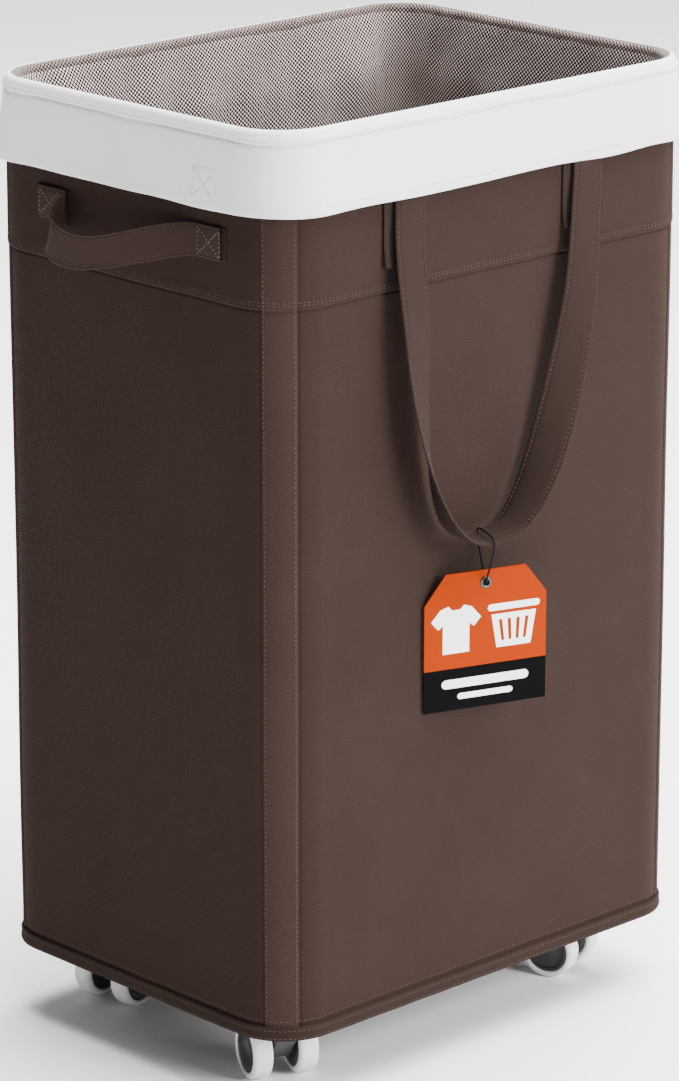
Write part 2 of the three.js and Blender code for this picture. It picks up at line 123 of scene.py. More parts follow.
# ---------------------------------------- material helpers
class Nodes:
    """Short names for the nodes of one material."""

    def __init__(self, name, rough, spec=0.3):
        self.material = bpy.data.materials.new(name)
        self.material.use_nodes = True
        self.tree = self.material.node_tree
        self.shader = self.tree.nodes["Principled BSDF"]
        self.shader.inputs["Roughness"].default_value = rough
        self.shader.inputs["Specular IOR Level"].default_value = spec

    def add(self, kind, **settings):
        node = self.tree.nodes.new(kind)
        for key, value in settings.items():
            setattr(node, key, value)
        return node

    def link(self, source, target):
        self.tree.links.new(source, target)

    def math(self, operation, a, b=None, c=None):
        node = self.add("ShaderNodeMath", operation=operation)
        for socket, value in zip(node.inputs, (a, b, c)):
            if value is None:
                continue
            if isinstance(value, (int, float)):
                socket.default_value = value
            else:
                self.link(value, socket)
        return node.outputs[0]

    def uv(self):
        node = self.add("ShaderNodeUVMap", uv_map="cloth")
        split = self.add("ShaderNodeSeparateXYZ")
        self.link(node.outputs[0], split.inputs[0])
        return split.outputs[0], split.outputs[1]

    def place(self):
        return self.add("ShaderNodeTexCoord").outputs["Object"]

    def noise(self, scale, detail=3, rough=0.55):
        node = self.add("ShaderNodeTexNoise")
        node.inputs["Scale"].default_value = scale
        node.inputs["Detail"].default_value = detail
        node.inputs["Roughness"].default_value = rough
        self.link(self.place(), node.inputs["Vector"])
        return node.outputs[0]

    def wave(self, along, pitch):
        return self.math("COSINE", self.math("MULTIPLY", along, TAU / pitch))

    def mix(self, factor, low, high):
        node = self.add("ShaderNodeMix", data_type="RGBA")
        if isinstance(factor, (int, float)):
            node.inputs[0].default_value = factor
        else:
            self.link(factor, node.inputs[0])
        for socket, value in ((node.inputs[6], low), (node.inputs[7], high)):
            if isinstance(value, tuple):
                socket.default_value = (*value, 1)
            else:
                self.link(value, socket)
        return node.outputs[2]

    def spread(self, value, low, high):
        node = self.add("ShaderNodeMapRange")
        node.inputs["From Min"].default_value = low
        node.inputs["From Max"].default_value = high
        self.link(value, node.inputs["Value"])
        return node.outputs[0]

    def colour(self, value):
        self.link(value, self.shader.inputs["Base Color"])

    def roughness(self, value, low, high):
        node = self.add("ShaderNodeMapRange")
        node.inputs["To Min"].default_value = low
        node.inputs["To Max"].default_value = high
        self.link(value, node.inputs["Value"])
        self.link(node.outputs[0], self.shader.inputs["Roughness"])

    def bump(self, height, distance, strength=1.0):
        node = self.add("ShaderNodeBump")
        node.inputs["Distance"].default_value = distance
        node.inputs["Strength"].default_value = strength
        self.link(height, node.inputs["Height"])
        self.link(node.outputs[0], self.shader.inputs["Normal"])

    def sheen(self, weight, rough, tint):
        self.shader.inputs["Sheen Weight"].default_value = weight
        self.shader.inputs["Sheen Roughness"].default_value = rough
        self.shader.inputs["Sheen Tint"].default_value = (*tint, 1)


def twill(name, dark, light, pitch, lean=1.0):
    """Diagonal twill: ribs of pitch metres that climb along the cloth, broken by the yarns."""
    n = Nodes(name, 0.86, 0.06)
    u, v = n.uv()
    rib = n.wave(n.math("ADD", u, n.math("MULTIPLY", v, lean)), pitch)
    yarn = n.wave(v, pitch * 0.45)
    cloth = n.math("MULTIPLY_ADD", yarn, 0.35, rib)
    height = n.spread(cloth, -1.35, 1.35)
    blotch = n.noise(14, 4)
    grain = n.noise(900, 2)
    mixed = n.math("MULTIPLY_ADD", blotch, 0.2, n.math("MULTIPLY", height, 0.7))
    mixed = n.math("MULTIPLY_ADD", grain, 0.2, mixed)
    n.colour(n.mix(mixed, dark, light))
    n.roughness(grain, 0.78, 0.95)
    n.bump(n.math("MULTIPLY_ADD", grain, 0.3, height), 0.4 * MM, 0.8)
    n.sheen(0.02, 0.45, (0.75, 0.62, 0.56))
    return n.material


def plain_weave(name, dark, light, pitch, creases=0.0):
    """Plain weave cloth of pitch metres, with soft creases under the weave."""
    n = Nodes(name, 0.88, 0.15)
    u, v = n.uv()
    cloth = n.math("MULTIPLY", n.wave(u, pitch), n.wave(v, pitch))
    height = n.spread(cloth, -1, 1)
    blotch = n.noise(22, 4)
    mixed = n.math("MULTIPLY_ADD", height, 0.35, n.math("MULTIPLY", blotch, 0.65))
    n.colour(n.mix(mixed, dark, light))
    n.roughness(blotch, 0.82, 0.95)
    soft = n.noise(16, 2)
    total = n.math("MULTIPLY_ADD", soft, creases, n.math("MULTIPLY", height, 0.15))
    n.bump(total, 1 * MM, 0.5)
    n.sheen(0.1, 0.4, (1, 1, 1))
    return n.material


def open_mesh(name, thread, shade, pitch):
    """Warp-knitted net: holes on a staggered lattice, clear through."""
    n = Nodes(name, 0.75, 0.3)
    u, v = n.uv()
    one = n.wave(n.math("ADD", u, v), pitch)
    two = n.wave(n.math("SUBTRACT", u, v), pitch)
    hole = n.math("ADD", one, two)
    edge = n.spread(hole, -0.5, -0.1)
    clear = n.math("SUBTRACT", 1, edge)
    n.link(clear, n.shader.inputs["Alpha"])
    strand = n.wave(n.math("ADD", u, n.math("MULTIPLY", v, 0.2)), pitch / 6)
    tone = n.math("MULTIPLY_ADD", strand, 0.12, n.math("MULTIPLY", n.noise(30, 3), 0.9))
    n.colour(n.mix(tone, shade, thread))
    n.bump(n.math("SUBTRACT", n.math("MULTIPLY", strand, 0.1), hole), 0.3 * MM, 0.6)
    n.sheen(0.15, 0.4, (1, 0.95, 0.92))
    return n.material


def moulded(name, dark, light, rough_low, rough_high, spec=0.5, grain=700, depth=0.05):
    """Moulded plastic or rubber: fine grain, slightly uneven colour and gloss."""
    n = Nodes(name, rough_low, spec)
    fine = n.noise(grain, 2)
    cloud = n.noise(60, 3)
    n.colour(n.mix(n.math("MULTIPLY_ADD", fine, 0.3, n.math("MULTIPLY", cloud, 0.7)), dark, light))
    n.roughness(cloud, rough_low, rough_high)
    n.bump(fine, depth * MM, 0.5)
    return n.material


def drawn_metal(name, dark, light):
    n = Nodes(name, 0.3, 0.5)
    n.shader.inputs["Metallic"].default_value = 1
    streak = n.noise(350, 3)
    n.colour(n.mix(streak, dark, light))
    n.roughness(streak, 0.25, 0.42)
    n.bump(streak, 0.05 * MM, 0.4)
    return n.material


def card(name, dark, light):
    """Coated printed card: nearly even colour under a thin satin coat."""
    n = Nodes(name, 0.55, 0.02)
    fibre = n.noise(1200, 2)
    cloud = n.noise(30, 2)
    n.colour(n.mix(n.math("MULTIPLY_ADD", fibre, 0.3, n.math("MULTIPLY", cloud, 0.7)), dark, light))
    n.roughness(cloud, 0.5, 0.62)
    n.bump(fibre, 0.02 * MM, 0.4)
    return n.material


# name, dark and light colour, then the weave's pitch or the roughness, gloss and grain
TWILL = twill("brown_twill", (0.004, 0.0020, 0.0016), (0.036, 0.0205, 0.0165), 2.1 * MM)
# the corner strips' twill is the brown twill made lighter: a painted highlight for the light that falls on
# them
SLEEVE_PAINTED_LIGHT_CLOTH = twill("sleeve_twill_painted_light", (0.0055, 0.0028, 0.0023), (0.050, 0.030, 0.0243), 2.1 * MM)
LINING = twill("brown_lining", (0.003, 0.0017, 0.0014), (0.014, 0.0083, 0.0069), 1.7 * MM)
# the handles' twill is the brown twill made lighter: a painted highlight for the light the handles catch
HANDLE_PAINTED_LIGHT_CLOTH = twill("handle_twill_painted_light", (0.009, 0.005, 0.004), (0.050, 0.030, 0.0245), 1.2 * MM, -1.0)
STRAP_CLOTH = twill("strap_twill", (0.006, 0.0033, 0.0027), (0.033, 0.0195, 0.0157), 1.2 * MM, -1.0)
THREAD = moulded("brown_thread", (0.050, 0.033, 0.028), (0.095, 0.066, 0.056), 0.7, 0.85, 0.1, 2500)
WHITE = plain_weave("white_cloth", (0.66, 0.66, 0.652), (0.76, 0.76, 0.75), 0.9 * MM, 0.5)
BRIGHT_THREAD = moulded("bright_thread", (0.13, 0.092, 0.08), (0.20, 0.15, 0.13), 0.7, 0.85, 0.1, 2500)
WHITE_THREAD = moulded("white_thread", (0.50, 0.50, 0.49), (0.62, 0.62, 0.61), 0.6, 0.8, 0.3, 2500)
TAPE = open_mesh("rim_tape", (0.36, 0.285, 0.262), (0.20, 0.150, 0.137), NET_PITCH)
NET = open_mesh("liner_net", (0.70, 0.605, 0.58), (0.42, 0.33, 0.31), NET_PITCH)
STEEL = drawn_metal("drawn_steel", (0.42, 0.42, 0.43), (0.62, 0.62, 0.63))
EYELET = drawn_metal("eyelet_metal", (0.035, 0.038, 0.043), (0.09, 0.095, 0.105))
TYRE = moulded("white_tyre", (0.66, 0.66, 0.64), (0.82, 0.82, 0.80), 0.42, 0.58, 0.4)
BLACK = moulded("black_plastic", (0.008, 0.008, 0.008), (0.018, 0.018, 0.017), 0.35, 0.5, 0.5, 900, 0.08)
GREY = moulded("dark_plastic", (0.020, 0.021, 0.020), (0.040, 0.041, 0.040), 0.42, 0.58, 0.45, 900, 0.08)
ORANGE = card("orange_card", (0.22, 0.019, 0.0), (0.26, 0.025, 0.0))
CHARCOAL = card("charcoal_card", (0.001, 0.001, 0.001), (0.003, 0.003, 0.003))
CARD_WHITE = card("white_print", (0.84, 0.84, 0.83), (0.92, 0.92, 0.91))
CORD = moulded("black_string", (0.002, 0.002, 0.002), (0.008, 0.008, 0.008), 0.6, 0.8, 0.08, 3000, 0.15)


# ---------------------------------------- mesh helpers
def make(name, points, faces, material, body, uv=None, smooth=True, joined=False):
    """A piece from points and faces. body is the one it rides, or a tuple (body, body, start, end) whose
    entries are not used: the piece then rides nothing.
    """
    mesh = bpy.data.meshes.new(name)
    mesh.from_pydata([tuple(p) for p in points], [], [tuple(f) for f in faces])
    mesh.validate()
    if uv is not None:
        layer = mesh.uv_layers.new(name="cloth")
        index = np.empty(len(mesh.loops), np.int64)
        mesh.loops.foreach_get("vertex_index", index)
        layer.data.foreach_set("uv", np.asarray(uv, np.float32)[index].ravel())
    mesh.polygons.foreach_set("use_smooth", [smooth] * len(mesh.polygons))
    mesh.materials.append(material)
    if joined:
        join_points(mesh)
    piece = bpy.data.objects.new(name, mesh)
    bpy.context.scene.collection.objects.link(piece)
    if isinstance(body, str):
        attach(piece, body)
    else:
        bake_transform(piece)
    return piece


def join_points(mesh):
    """Joins points that lie on each other, keeping the cloth's own coordinates."""
    work = bmesh.new()
    work.from_mesh(mesh)
    bmesh.ops.remove_doubles(work, verts=work.verts, dist=1e-6)
    bmesh.ops.recalc_face_normals(work, faces=work.faces)
    work.to_mesh(mesh)
    work.free()


def grid_faces(rows, columns, wrap_rows=False, wrap_columns=False):
    """Quads between neighbouring points of a grid of rows by columns."""
    r = np.arange(rows if wrap_rows else rows - 1)[:, None]
    c = np.arange(columns if wrap_columns else columns - 1)[None, :]
    r2, c2 = (r + 1) % rows, (c + 1) % columns
    quads = np.stack(np.broadcast_arrays(
        r * columns + c, r * columns + c2, r2 * columns + c2, r2 * columns + c), -1)
    return [tuple(quad) for quad in quads.reshape(-1, 4).tolist()]


def end_faces(rows, columns):
    """The two faces that close a tube of rows rings with columns points each."""
    return [tuple(reversed(range(columns))), tuple(range((rows - 1) * columns, rows * columns))]


def thicken(piece, thickness):
    """Gives cloth its thickness, all of it behind the surface."""
    modifier = piece.modifiers.new("thickness", "SOLIDIFY")
    modifier.thickness = thickness
    modifier.offset = -1
    modifier.use_even_offset = False


# ---------------------------------------- the box outline
# s runs anticlockwise round the box from the left end of the front wall's straight part.
# Straight parts give their length, start and heading in degrees. Corners give their length,
# centre and the bearing in degrees at which they start.
PARTS = (
    (STRAIGHT_X, Vector((-HALF_L + RADIUS, -HALF_W, 0)), 0),
    (ARC, Vector((HALF_L - RADIUS, -HALF_W + RADIUS, 0)), -90),
    (STRAIGHT_Y, Vector((HALF_L, -HALF_W + RADIUS, 0)), 90),
    (ARC, Vector((HALF_L - RADIUS, HALF_W - RADIUS, 0)), 0),
    (STRAIGHT_X, Vector((HALF_L - RADIUS, HALF_W, 0)), 180),
    (ARC, Vector((-HALF_L + RADIUS, HALF_W - RADIUS, 0)), 90),
    (STRAIGHT_Y, Vector((-HALF_L, HALF_W - RADIUS, 0)), 270),
    (ARC, Vector((-HALF_L + RADIUS, -HALF_W + RADIUS, 0)), 180),
)
CORNER_MIDDLES = [
    sum(p[0] for p in PARTS[:i]) + ARC / 2 for i in (1, 3, 5, 7)
]  # front right, rear right, rear left, front left
LEFT_MIDDLE = sum(p[0] for p in PARTS[:6]) + STRAIGHT_Y / 2

# the spacing of most pieces' columns round the box, closer together at the corners
AROUND = (6 * MM, CORNER_MIDDLES, 3 * MM, 36 * MM)


def outline(s):
    """Points (n, 2) on the nominal outline and outward normals (n, 2) at the lengths s."""
    s = np.asarray(s, float) % ROUND
    point = np.zeros((len(s), 2))
    normal = np.zeros((len(s), 2))
    start = 0.0
    for k, (length, at, turn) in enumerate(PARTS):
        inside = (s >= start - 1e-12) & (s < start + length)
        t = s[inside] - start
        if k % 2 == 0:
            a = math.radians(turn)
            along = np.array([math.cos(a), math.sin(a)])
            point[inside] = np.array(at[:2]) + t[:, None] * along
            normal[inside] = [along[1], -along[0]]
        else:
            a = math.radians(turn) + t / RADIUS
            normal[inside] = np.stack([np.cos(a), np.sin(a)], -1)
            point[inside] = np.array(at[:2]) + RADIUS * normal[inside]
        start += length
    return point, normal


def columns(step, fine=None, dense=0.0, reach=0.0):
    """Lengths round the outline every step, and every dense within reach of each of fine."""
    s = list(np.arange(0, ROUND, step))
    for middle in fine or ():
        s = [x for x in s if abs(apart(x, middle)) > reach]
        s += list((middle + np.arange(-reach, reach + dense / 2, dense)) % ROUND)
    return np.array(sorted(s))


def apart(s, middle):
    """Signed distance round the outline from middle."""
    return (np.asarray(s) - middle + ROUND / 2) % ROUND - ROUND / 2


def corner_distance(s):
    """Distance round the outline to the nearest corner's middle."""
    return np.min([np.abs(apart(s, m)) for m in CORNER_MIDDLES], axis=0)


def waves(s, z, seed, across, up):
    """A smooth uneven field from a few sines, about -1 to 1. It closes round the outline."""
    random = np.random.default_rng(seed)
    total = np.zeros(np.broadcast(s, z).shape)
    for _ in range(6):
        turns = max(1, round(ROUND / across * random.uniform(0.6, 1.5)))
        rise = TAU / (up * random.uniform(0.7, 1.6)) * random.choice([-1, 1])
        total = total + np.sin(turns * TAU * s / ROUND + rise * z + random.uniform(0, TAU))
    return total / 3.2


def ridge(x, width):
    """1 at x = 0, falling to 0 over about width on both sides."""
    return np.exp(-(x / width) ** 2)


def fade(x, width):
    """1 below x = 0 and 0 above it, changing over about width."""
    return 1 / (1 + np.exp(x / width))


def wrapped(name, s, offset, height, material, body, closed=False):
    """A surface round the box. Each row of offset and height is one length, or one for each of s."""
    offset = np.stack([np.broadcast_to(row, s.shape) for row in offset])
    height = np.stack([np.broadcast_to(row, s.shape) for row in height])
    point, normal = outline(s)
    xy = point[None] + normal[None] * offset[..., None]
    points = np.concatenate([xy, height[..., None]], -1)
    # one extra column closes the cloth's own coordinates
    points = np.concatenate([points, points[:, :1]], 1)
    length = np.append(s, s[0] + ROUND)
    step = np.hypot(np.diff(offset, axis=0), np.diff(height, axis=0)).mean(1)
    down = np.concatenate([[0], np.cumsum(step)])
    uv = np.stack(np.broadcast_arrays(length[None], -down[:, None]), -1)
    faces = grid_faces(len(offset), len(s) + 1, wrap_rows=closed)
    return make(name, points.reshape(-1, 3), faces, material, body, uv.reshape(-1, 2), joined=True)


# ---------------------------------------- stitches
STITCHES = {}  # the corners of each group's stitches, row by row


def run_along(line):
    """The length along line at each of its points."""
    return np.concatenate([[0], np.cumsum(np.linalg.norm(np.diff(line, axis=0), axis=1))])


def stitch(group, line, normal, length=2.3 * MM, thick=0.34 * MM, pitch=STITCH_PITCH):
    """Adds a row of stitches along the points of line, standing out along normal."""
    line = np.asarray(line, float)
    normal = np.broadcast_to(np.asarray(normal, float), line.shape)
    run = run_along(line)
    count = int(run[-1] / pitch)
    if count < 1:
        return
    middle = (np.arange(count) + 0.5) * run[-1] / count
    ends = []
    for shift in (-length / 2, 0, length / 2):
        at = np.clip(middle + shift, 0, run[-1])
        ends.append(np.stack([np.interp(at, run, line[:, k]) for k in range(3)], -1))
    up = np.stack([np.interp(middle, run, normal[:, k]) for k in range(3)], -1)
    up /= np.linalg.norm(up, axis=1)[:, None]
    side = np.cross(ends[2] - ends[0], up)
    side /= np.linalg.norm(side, axis=1)[:, None] + 1e-12
    corners = [
        ends[0] - up * thick * 0.2, ends[2] - up * thick * 0.2,
        ends[1] + up * thick, ends[1] - up * thick * 0.6,
        ends[1] + side * thick + up * thick * 0.2, ends[1] - side * thick + up * thick * 0.2,
    ]
    STITCHES.setdefault(group, []).append(np.stack(corners, 1))


STITCH_FACES = np.array([
    (0, 4, 2), (0, 2, 5), (0, 5, 3), (0, 3, 4), (1, 2, 4), (1, 5, 2), (1, 3, 5), (1, 4, 3)])


def make_stitches(group, name, material, body):
    """One piece of all the stitches added to group."""
    points = np.concatenate(STITCHES[group])
    count = len(points)
    faces = (STITCH_FACES[None] + 6 * np.arange(count)[:, None, None]).reshape(-1, 3)
    make(name, points.reshape(-1, 3), faces, material, body)


def around(s, offset, z):
    """Points at the lengths s, moved out by offset, at height z, and their normals."""
    point, normal = outline(s)
    xy = point + normal * np.broadcast_to(offset, (len(s),))[:, None]
    flat = np.concatenate([normal, np.zeros((len(s), 1))], -1)
    return np.concatenate([xy, np.broadcast_to(z, (len(s),))[:, None]], -1), flat


def stitch_along(group, s, offset, z, side=1, **sizes):
    """Stitches on the box at the lengths s, offset from the outline at height z."""
    line, normal = around(s, offset, z)
    stitch(group, line, normal * side, **sizes)


def once_round(s):
    """The lengths s, and an end just short of the start again."""
    return np.append(s, s[0] + ROUND - 1e-6)


# ---------------------------------------- the fabric box
def shell_offset(s, z):
    """How far the cloth of the box lies outside the nominal outline."""
    corner = corner_distance(s)
    flat = np.clip((corner - 40 * MM) / (60 * MM), 0, 1)
    height = np.clip((z - BASE) / (40 * MM), 0, 1) * np.clip((WALL_TOP - z) / (60 * MM), 0, 1)
    out = 0.9 * MM * flat * height * waves(s, z, 3, 0.42, 0.5)
    out = out + 0.25 * MM * height * waves(s, z, 5, 0.11, 0.3)
    on_strip = fade(corner - STRIP_HALF, 0.35 * MM)
    below_band = fade(z - BAND_SEAM, 0.3 * MM)
    out = out + 0.7 * MM * on_strip * (0.4 + 0.6 * below_band)
    groove = ridge(corner - STRIP_HALF - 0.7 * MM, 0.8 * MM)
    out = out - 0.9 * MM * groove * (0.6 + 0.4 * below_band)
    out = out + 1.0 * MM * (1 - below_band)
    # a groove under the band's edge and one above the bottom seam
    out = out - 0.7 * MM * ridge(z - BAND_SEAM + 0.9 * MM, 0.8 * MM)
    out = out - 0.9 * MM * ridge(z - BASE - 11.2 * MM, 1.0 * MM)
    return out


def make_shell():
    """The walls in one cloth: outside, lining and the strips over the corner sleeves."""
    s = columns(5 * MM, CORNER_MIDDLES, 0.9 * MM, 17 * MM)
    low, high = BASE + 1 * MM, WALL_TOP
    z = np.concatenate([
        np.arange(low, BASE + 16 * MM, 1.0 * MM),
        np.arange(BASE + 16 * MM, BAND_SEAM - 5 * MM, 7 * MM),
        np.arange(BAND_SEAM - 5 * MM, BAND_SEAM + 5 * MM, 0.5 * MM),
        np.arange(BAND_SEAM + 5 * MM, high, 7 * MM), [high]])
    inside = np.linspace(high, low, 12)
    offset = [*shell_offset(s[None], z[:, None]), *np.full(len(inside), -WALL_THICK)]
    shell = wrapped("fabric_box", s, offset, [*z, *inside], TWILL, "basket", closed=True)
    shell.data.materials.append(LINING)
    shell.data.materials.append(SLEEVE_PAINTED_LIGHT_CLOTH)
    # each face gets its cloth from how far it lies inside the outline
    middle = np.array([p.center for p in shell.data.polygons])
    clear = np.minimum(HALF_L - np.abs(middle[:, 0]), HALF_W - np.abs(middle[:, 1]))
    hub = np.stack([HALF_L - RADIUS - np.abs(middle[:, 0]), HALF_W - RADIUS - np.abs(middle[:, 1])], -1)
    in_corner = (hub < 0).all(1)
    clear[in_corner] = RADIUS - np.linalg.norm(hub[in_corner], axis=1)
    turn = np.arctan2(-hub[:, 1], -hub[:, 0]) - math.pi / 4
    # faces on the strips over the corner sleeves get the lighter twill, a painted highlight
    sleeve = in_corner & (np.abs(turn) * RADIUS < STRIP_HALF)
    cloth = np.where(clear > 1.65 * MM, 1, np.where(sleeve, 2, 0))
    shell.data.polygons.foreach_set("material_index", cloth.astype(np.int32))
    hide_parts(*[n for n in frame["nodes"] if n.endswith("_panel") or "corner_sleeve" in n])


def make_shell_stitches():
    s = once_round(columns(4 * MM))
    band_rows = [(BAND_SEAM + 3.0 * MM, 0.15 * MM), (BAND_SEAM + 4.9 * MM, 0.15 * MM)]
    for z, lift in (*band_rows, (BASE + 14.0 * MM, 0.12 * MM)):
        stitch_along("box", s, shell_offset(s, z) + lift, z)
    z = np.arange(BASE + 13 * MM, WALL_TOP - 12 * MM, 6 * MM)
    for middle in CORNER_MIDDLES:
        for side in (-1, 1):
            at = np.full(len(z), middle + side * (STRIP_HALF - 1.8 * MM))
            stitch_along("box", at, shell_offset(at, z) + 0.12 * MM, z)


def make_rim_hem():
    """The cloth folded over the rim wire."""
    s = columns(*AROUND)
    radius = HEM_WIDTH / 2
    low = WALL_TOP + 0.3 * MM
    shoulder = RIM - radius
    halfway = (low + shoulder) / 2
    bend = np.linspace(0, math.pi, 9)
    offset = [-0.1 * MM, 0, *(radius * (np.cos(bend) - 1)), -HEM_WIDTH, -HEM_WIDTH + 0.1 * MM]
    height = [low, halfway, *(shoulder + radius * np.sin(bend)), halfway, low]
    hem = wrapped("rim_binding", s, offset, height, TWILL, "basket")
    thicken(hem, HEM_CLOTH)
    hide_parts("rim_hem")
    for offset_at, side in ((0.15 * MM, 1), (-HEM_WIDTH - 0.15 * MM, -1)):
        stitch_along("box", once_round(s), offset_at, low + 2 * MM, side)


def make_binding():
    """The webbing that binds the bottom edge."""
    s = columns(*AROUND)
    low, high = (corner.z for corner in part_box("base_binding"))
    # (out from the outline in millimetres, up in tenths of the binding's height)
    profile = [(0.35, 0.25), (1.2, 0.02), (2.0, 0.35), (2.35, 1.5), (2.25, 3.4), (2.0, 5.4), (2.1, 7.4),
               (2.0, 8.8), (1.3, 9.9), (0.5, 10.0), (0.2, 8.0), (0.2, 4.0), (0.2, 1.5)]
    ripple = waves(s, 0, 11, 0.05, 1) * 0.12 * MM
    offset = [out * MM + ripple for out, _ in profile]
    height = [low + up * (high - low) / 10 + ripple for _, up in profile]
    piece = wrapped("bottom_binding", s, offset, height, STRAP_CLOTH, "basket", closed=True)
    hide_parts("base_binding")
    for rise, out in ((7.6 * MM, 2.15 * MM), (2.0 * MM, 2.4 * MM)):
        stitch_along("box", once_round(s), out, low + rise)


def make_base():
    """The board in its cloth cover, with a row of stitches underneath."""
    s = columns(*AROUND)
    # (out from the outline, up from the bottom), in millimetres
    rings = [(-150, 0.1), (-120, 0.1), (-90, 0.1), (-60, 0.1), (-40, 0.1), (-25, 0.1), (-12, 0.1),
             (-5, 0.15), (-2.6, 0.5), (-2.0, 1.2), (-2.0, 2.4), (-2.6, 2.9), (-6, 3.0)]
    point, normal = outline(s)
    half_sizes = np.array([HALF_L, HALF_W])
    limit = half_sizes * 0.999
    points = []
    for out, up in rings:
        out *= MM
        xy = point * (half_sizes + out) / half_sizes if out < -RADIUS else point + normal * out
        xy = np.clip(xy, -limit, limit)
        points.append(np.concatenate([xy, np.full((len(s), 1), BASE + up * MM)], -1))
    points.append(points[-1] * np.array([0.5, 0.5, 1]))
    flat = np.concatenate(points)
    faces = grid_faces(len(points), len(s), wrap_columns=True) + end_faces(len(points), len(s))
    piece = make("base_cover", flat, faces, TWILL, "basket", flat[:, :2], joined=True)
    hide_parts("base_board")
    line, _ = around(once_round(s), -9 * MM, BASE)
    stitch("box", line, (0, 0, -1))


# ---------------------------------------- the liner
def bag_offset(s, depth):
    """The net's place inside the outline at a depth below the rim, with its hanging folds."""
    hang = np.clip((depth - 4 * MM) / (45 * MM), 0, 1) ** 0.75
    from_rear_left = apart(s, CORNER_MIDDLES[2])
    gather = ridge(np.abs(from_rear_left), 60 * MM)
    others = ridge(corner_distance(s), 45 * MM)
    folds = np.sin(from_rear_left / (6.0 * MM) + 9 * depth + 1.5 * waves(s, depth, 21, 0.2, 0.25))
    loose = waves(s, depth, 23, 0.16, 0.22)
    small = waves(s, depth, 29, 0.06, 0.12)
    sag = (3.0 + 4.5 * gather + 3.5 * others) * MM
    inward = sag * hang + hang * (6.0 * gather + 0.5) * MM * (1 + folds) + hang * 2.2 * MM * (1 + loose)
    inward = inward + hang * 1.2 * MM * (1 + small)
    return -7.2 * MM - inward


def make_net():
    """The net bag: over the rim, down the walls in folds and in to its floor."""
    s = columns(5 * MM, CORNER_MIDDLES, 2.2 * MM, 66 * MM)
    bend = np.linspace(math.radians(65), math.radians(185), 9)
    over = [(-3.2 * MM + 3.9 * MM * math.cos(a), RIM - 3.2 * MM + 3.9 * MM * math.sin(a)) for a in bend]
    low = BOARD_TOP + 3 * MM
    depth = np.concatenate([
        np.arange(5, 120, 4), np.arange(120, 300, 9), np.arange(300, (RIM - low) / MM - 18, 24)]) * MM
    offset = [o for o, _ in over] + [bag_offset(s, d) for d in depth]
    height = [z for _, z in over] + [RIM - d for d in depth]
    last_offset, last_height = offset[-1], height[-1]
    for a in np.linspace(0.25, 1, 4) * math.pi / 2:
        offset.append(last_offset - (1 - math.cos(a)) * 16 * MM)
        height.append(last_height - (last_height - low) * math.sin(a))
    piece = wrapped("net_walls", s, offset, height, NET, "liner")
    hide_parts("liner_bag")
    # the floor of the bag is its own cut of net
    point, normal = outline(s)
    edge = point + normal * offset[-1][:, None]
    scales = [1.0, 0.9, 0.75, 0.55, 0.3]
    points = np.concatenate([np.concatenate([edge * k, np.full((len(s), 1), low)], -1) for k in scales])
    faces = grid_faces(len(scales), len(s), wrap_columns=True) + end_faces(len(scales), len(s))[1:]
    floor = make("net_floor", points, faces, NET, "liner", points[:, :2])


TOP_HEM = 7 * MM  # from the rim down to the seam of the collar's top hem


def make_rim_tape():
    """The second layer of net that hems its top edge over the rim."""
    s = columns(*AROUND)
    # (out from the outline, up from the rim), in millimetres
    path = [(-3.2 + 4.35 * math.cos(a), -3.2 + 4.35 * math.sin(a)) for a in np.linspace(1.3, math.pi, 9)]
    path += [(-7.6, -4.6), (-7.6, -6.0)]
    offset = [o * MM for o, _ in path]
    height = [RIM + z * MM + 0.2 * MM * waves(s, 0, 41, 0.06, 1) for _, z in path]
    tape = wrapped("rim_tape", s, offset, height, TAPE, "liner")
    thicken(tape, TAPE_CLOTH)


def make_pole_sleeve(node):
    """The cloth tube of the lining that holds one pole."""
    low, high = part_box(node)
    x, y = (low.x + high.x) / 2, (low.y + high.y) / 2
    radius = 2.75 * MM
    angle = np.linspace(0, TAU, 25)
    z = np.append(np.linspace(low.z, high.z - 0.5 * MM, 60), [high.z + 0.6 * MM, high.z + 0.8 * MM])
    r = radius * (1 + 0.05 * waves(angle[None] * 0.1, z[:, None], 43, 0.4, 0.09))
    r[-1] *= 0.02
    points = np.stack(np.broadcast_arrays(x + r * np.cos(angle), y + r * np.sin(angle), z[:, None]), -1)
    uv = np.stack(np.broadcast_arrays(angle[None] * radius, z[:, None]), -1)
    make(f"{node}_sleeve", points.reshape(-1, 3), grid_faces(len(z), len(angle)), LINING,
         "basket", uv.reshape(-1, 2))


def collar_drop(s):
    """How far the collar's lower edge hangs below the rim."""
    return (RIM - COLLAR_LOW - 2 * MM) * (1 + 0.012 * waves(s, 0, 31, 0.13, 1))


def collar_offset(s, depth):
    """How far the hanging part of the collar stands off at a depth below the rim."""
    share = np.clip(depth / (RIM - COLLAR_LOW), 0, 1.05)
    corner = ridge(corner_distance(s), 30 * MM)
    pucker = waves(s, depth, 33, 0.075, 0.4) * 0.75 * share ** 1.5
    slack = waves(s, depth, 37, 0.24, 0.3) * 0.7 * share
    below = depth - TOP_HEM - 0.5 * MM * waves(s, 0, 35, 0.09, 1)
    seam = 1.1 * fade(below, 0.3 * MM) - 1.3 * ridge(below - 0.7 * MM, 0.6 * MM)
    hem = 0.45 * fade(COLLAR_LOW + 7 * MM - (RIM - depth), 0.3 * MM)
    return (1.3 + 6.0 * share ** 1.1 + 1.2 * corner * share + pucker + slack + seam + hem) * MM


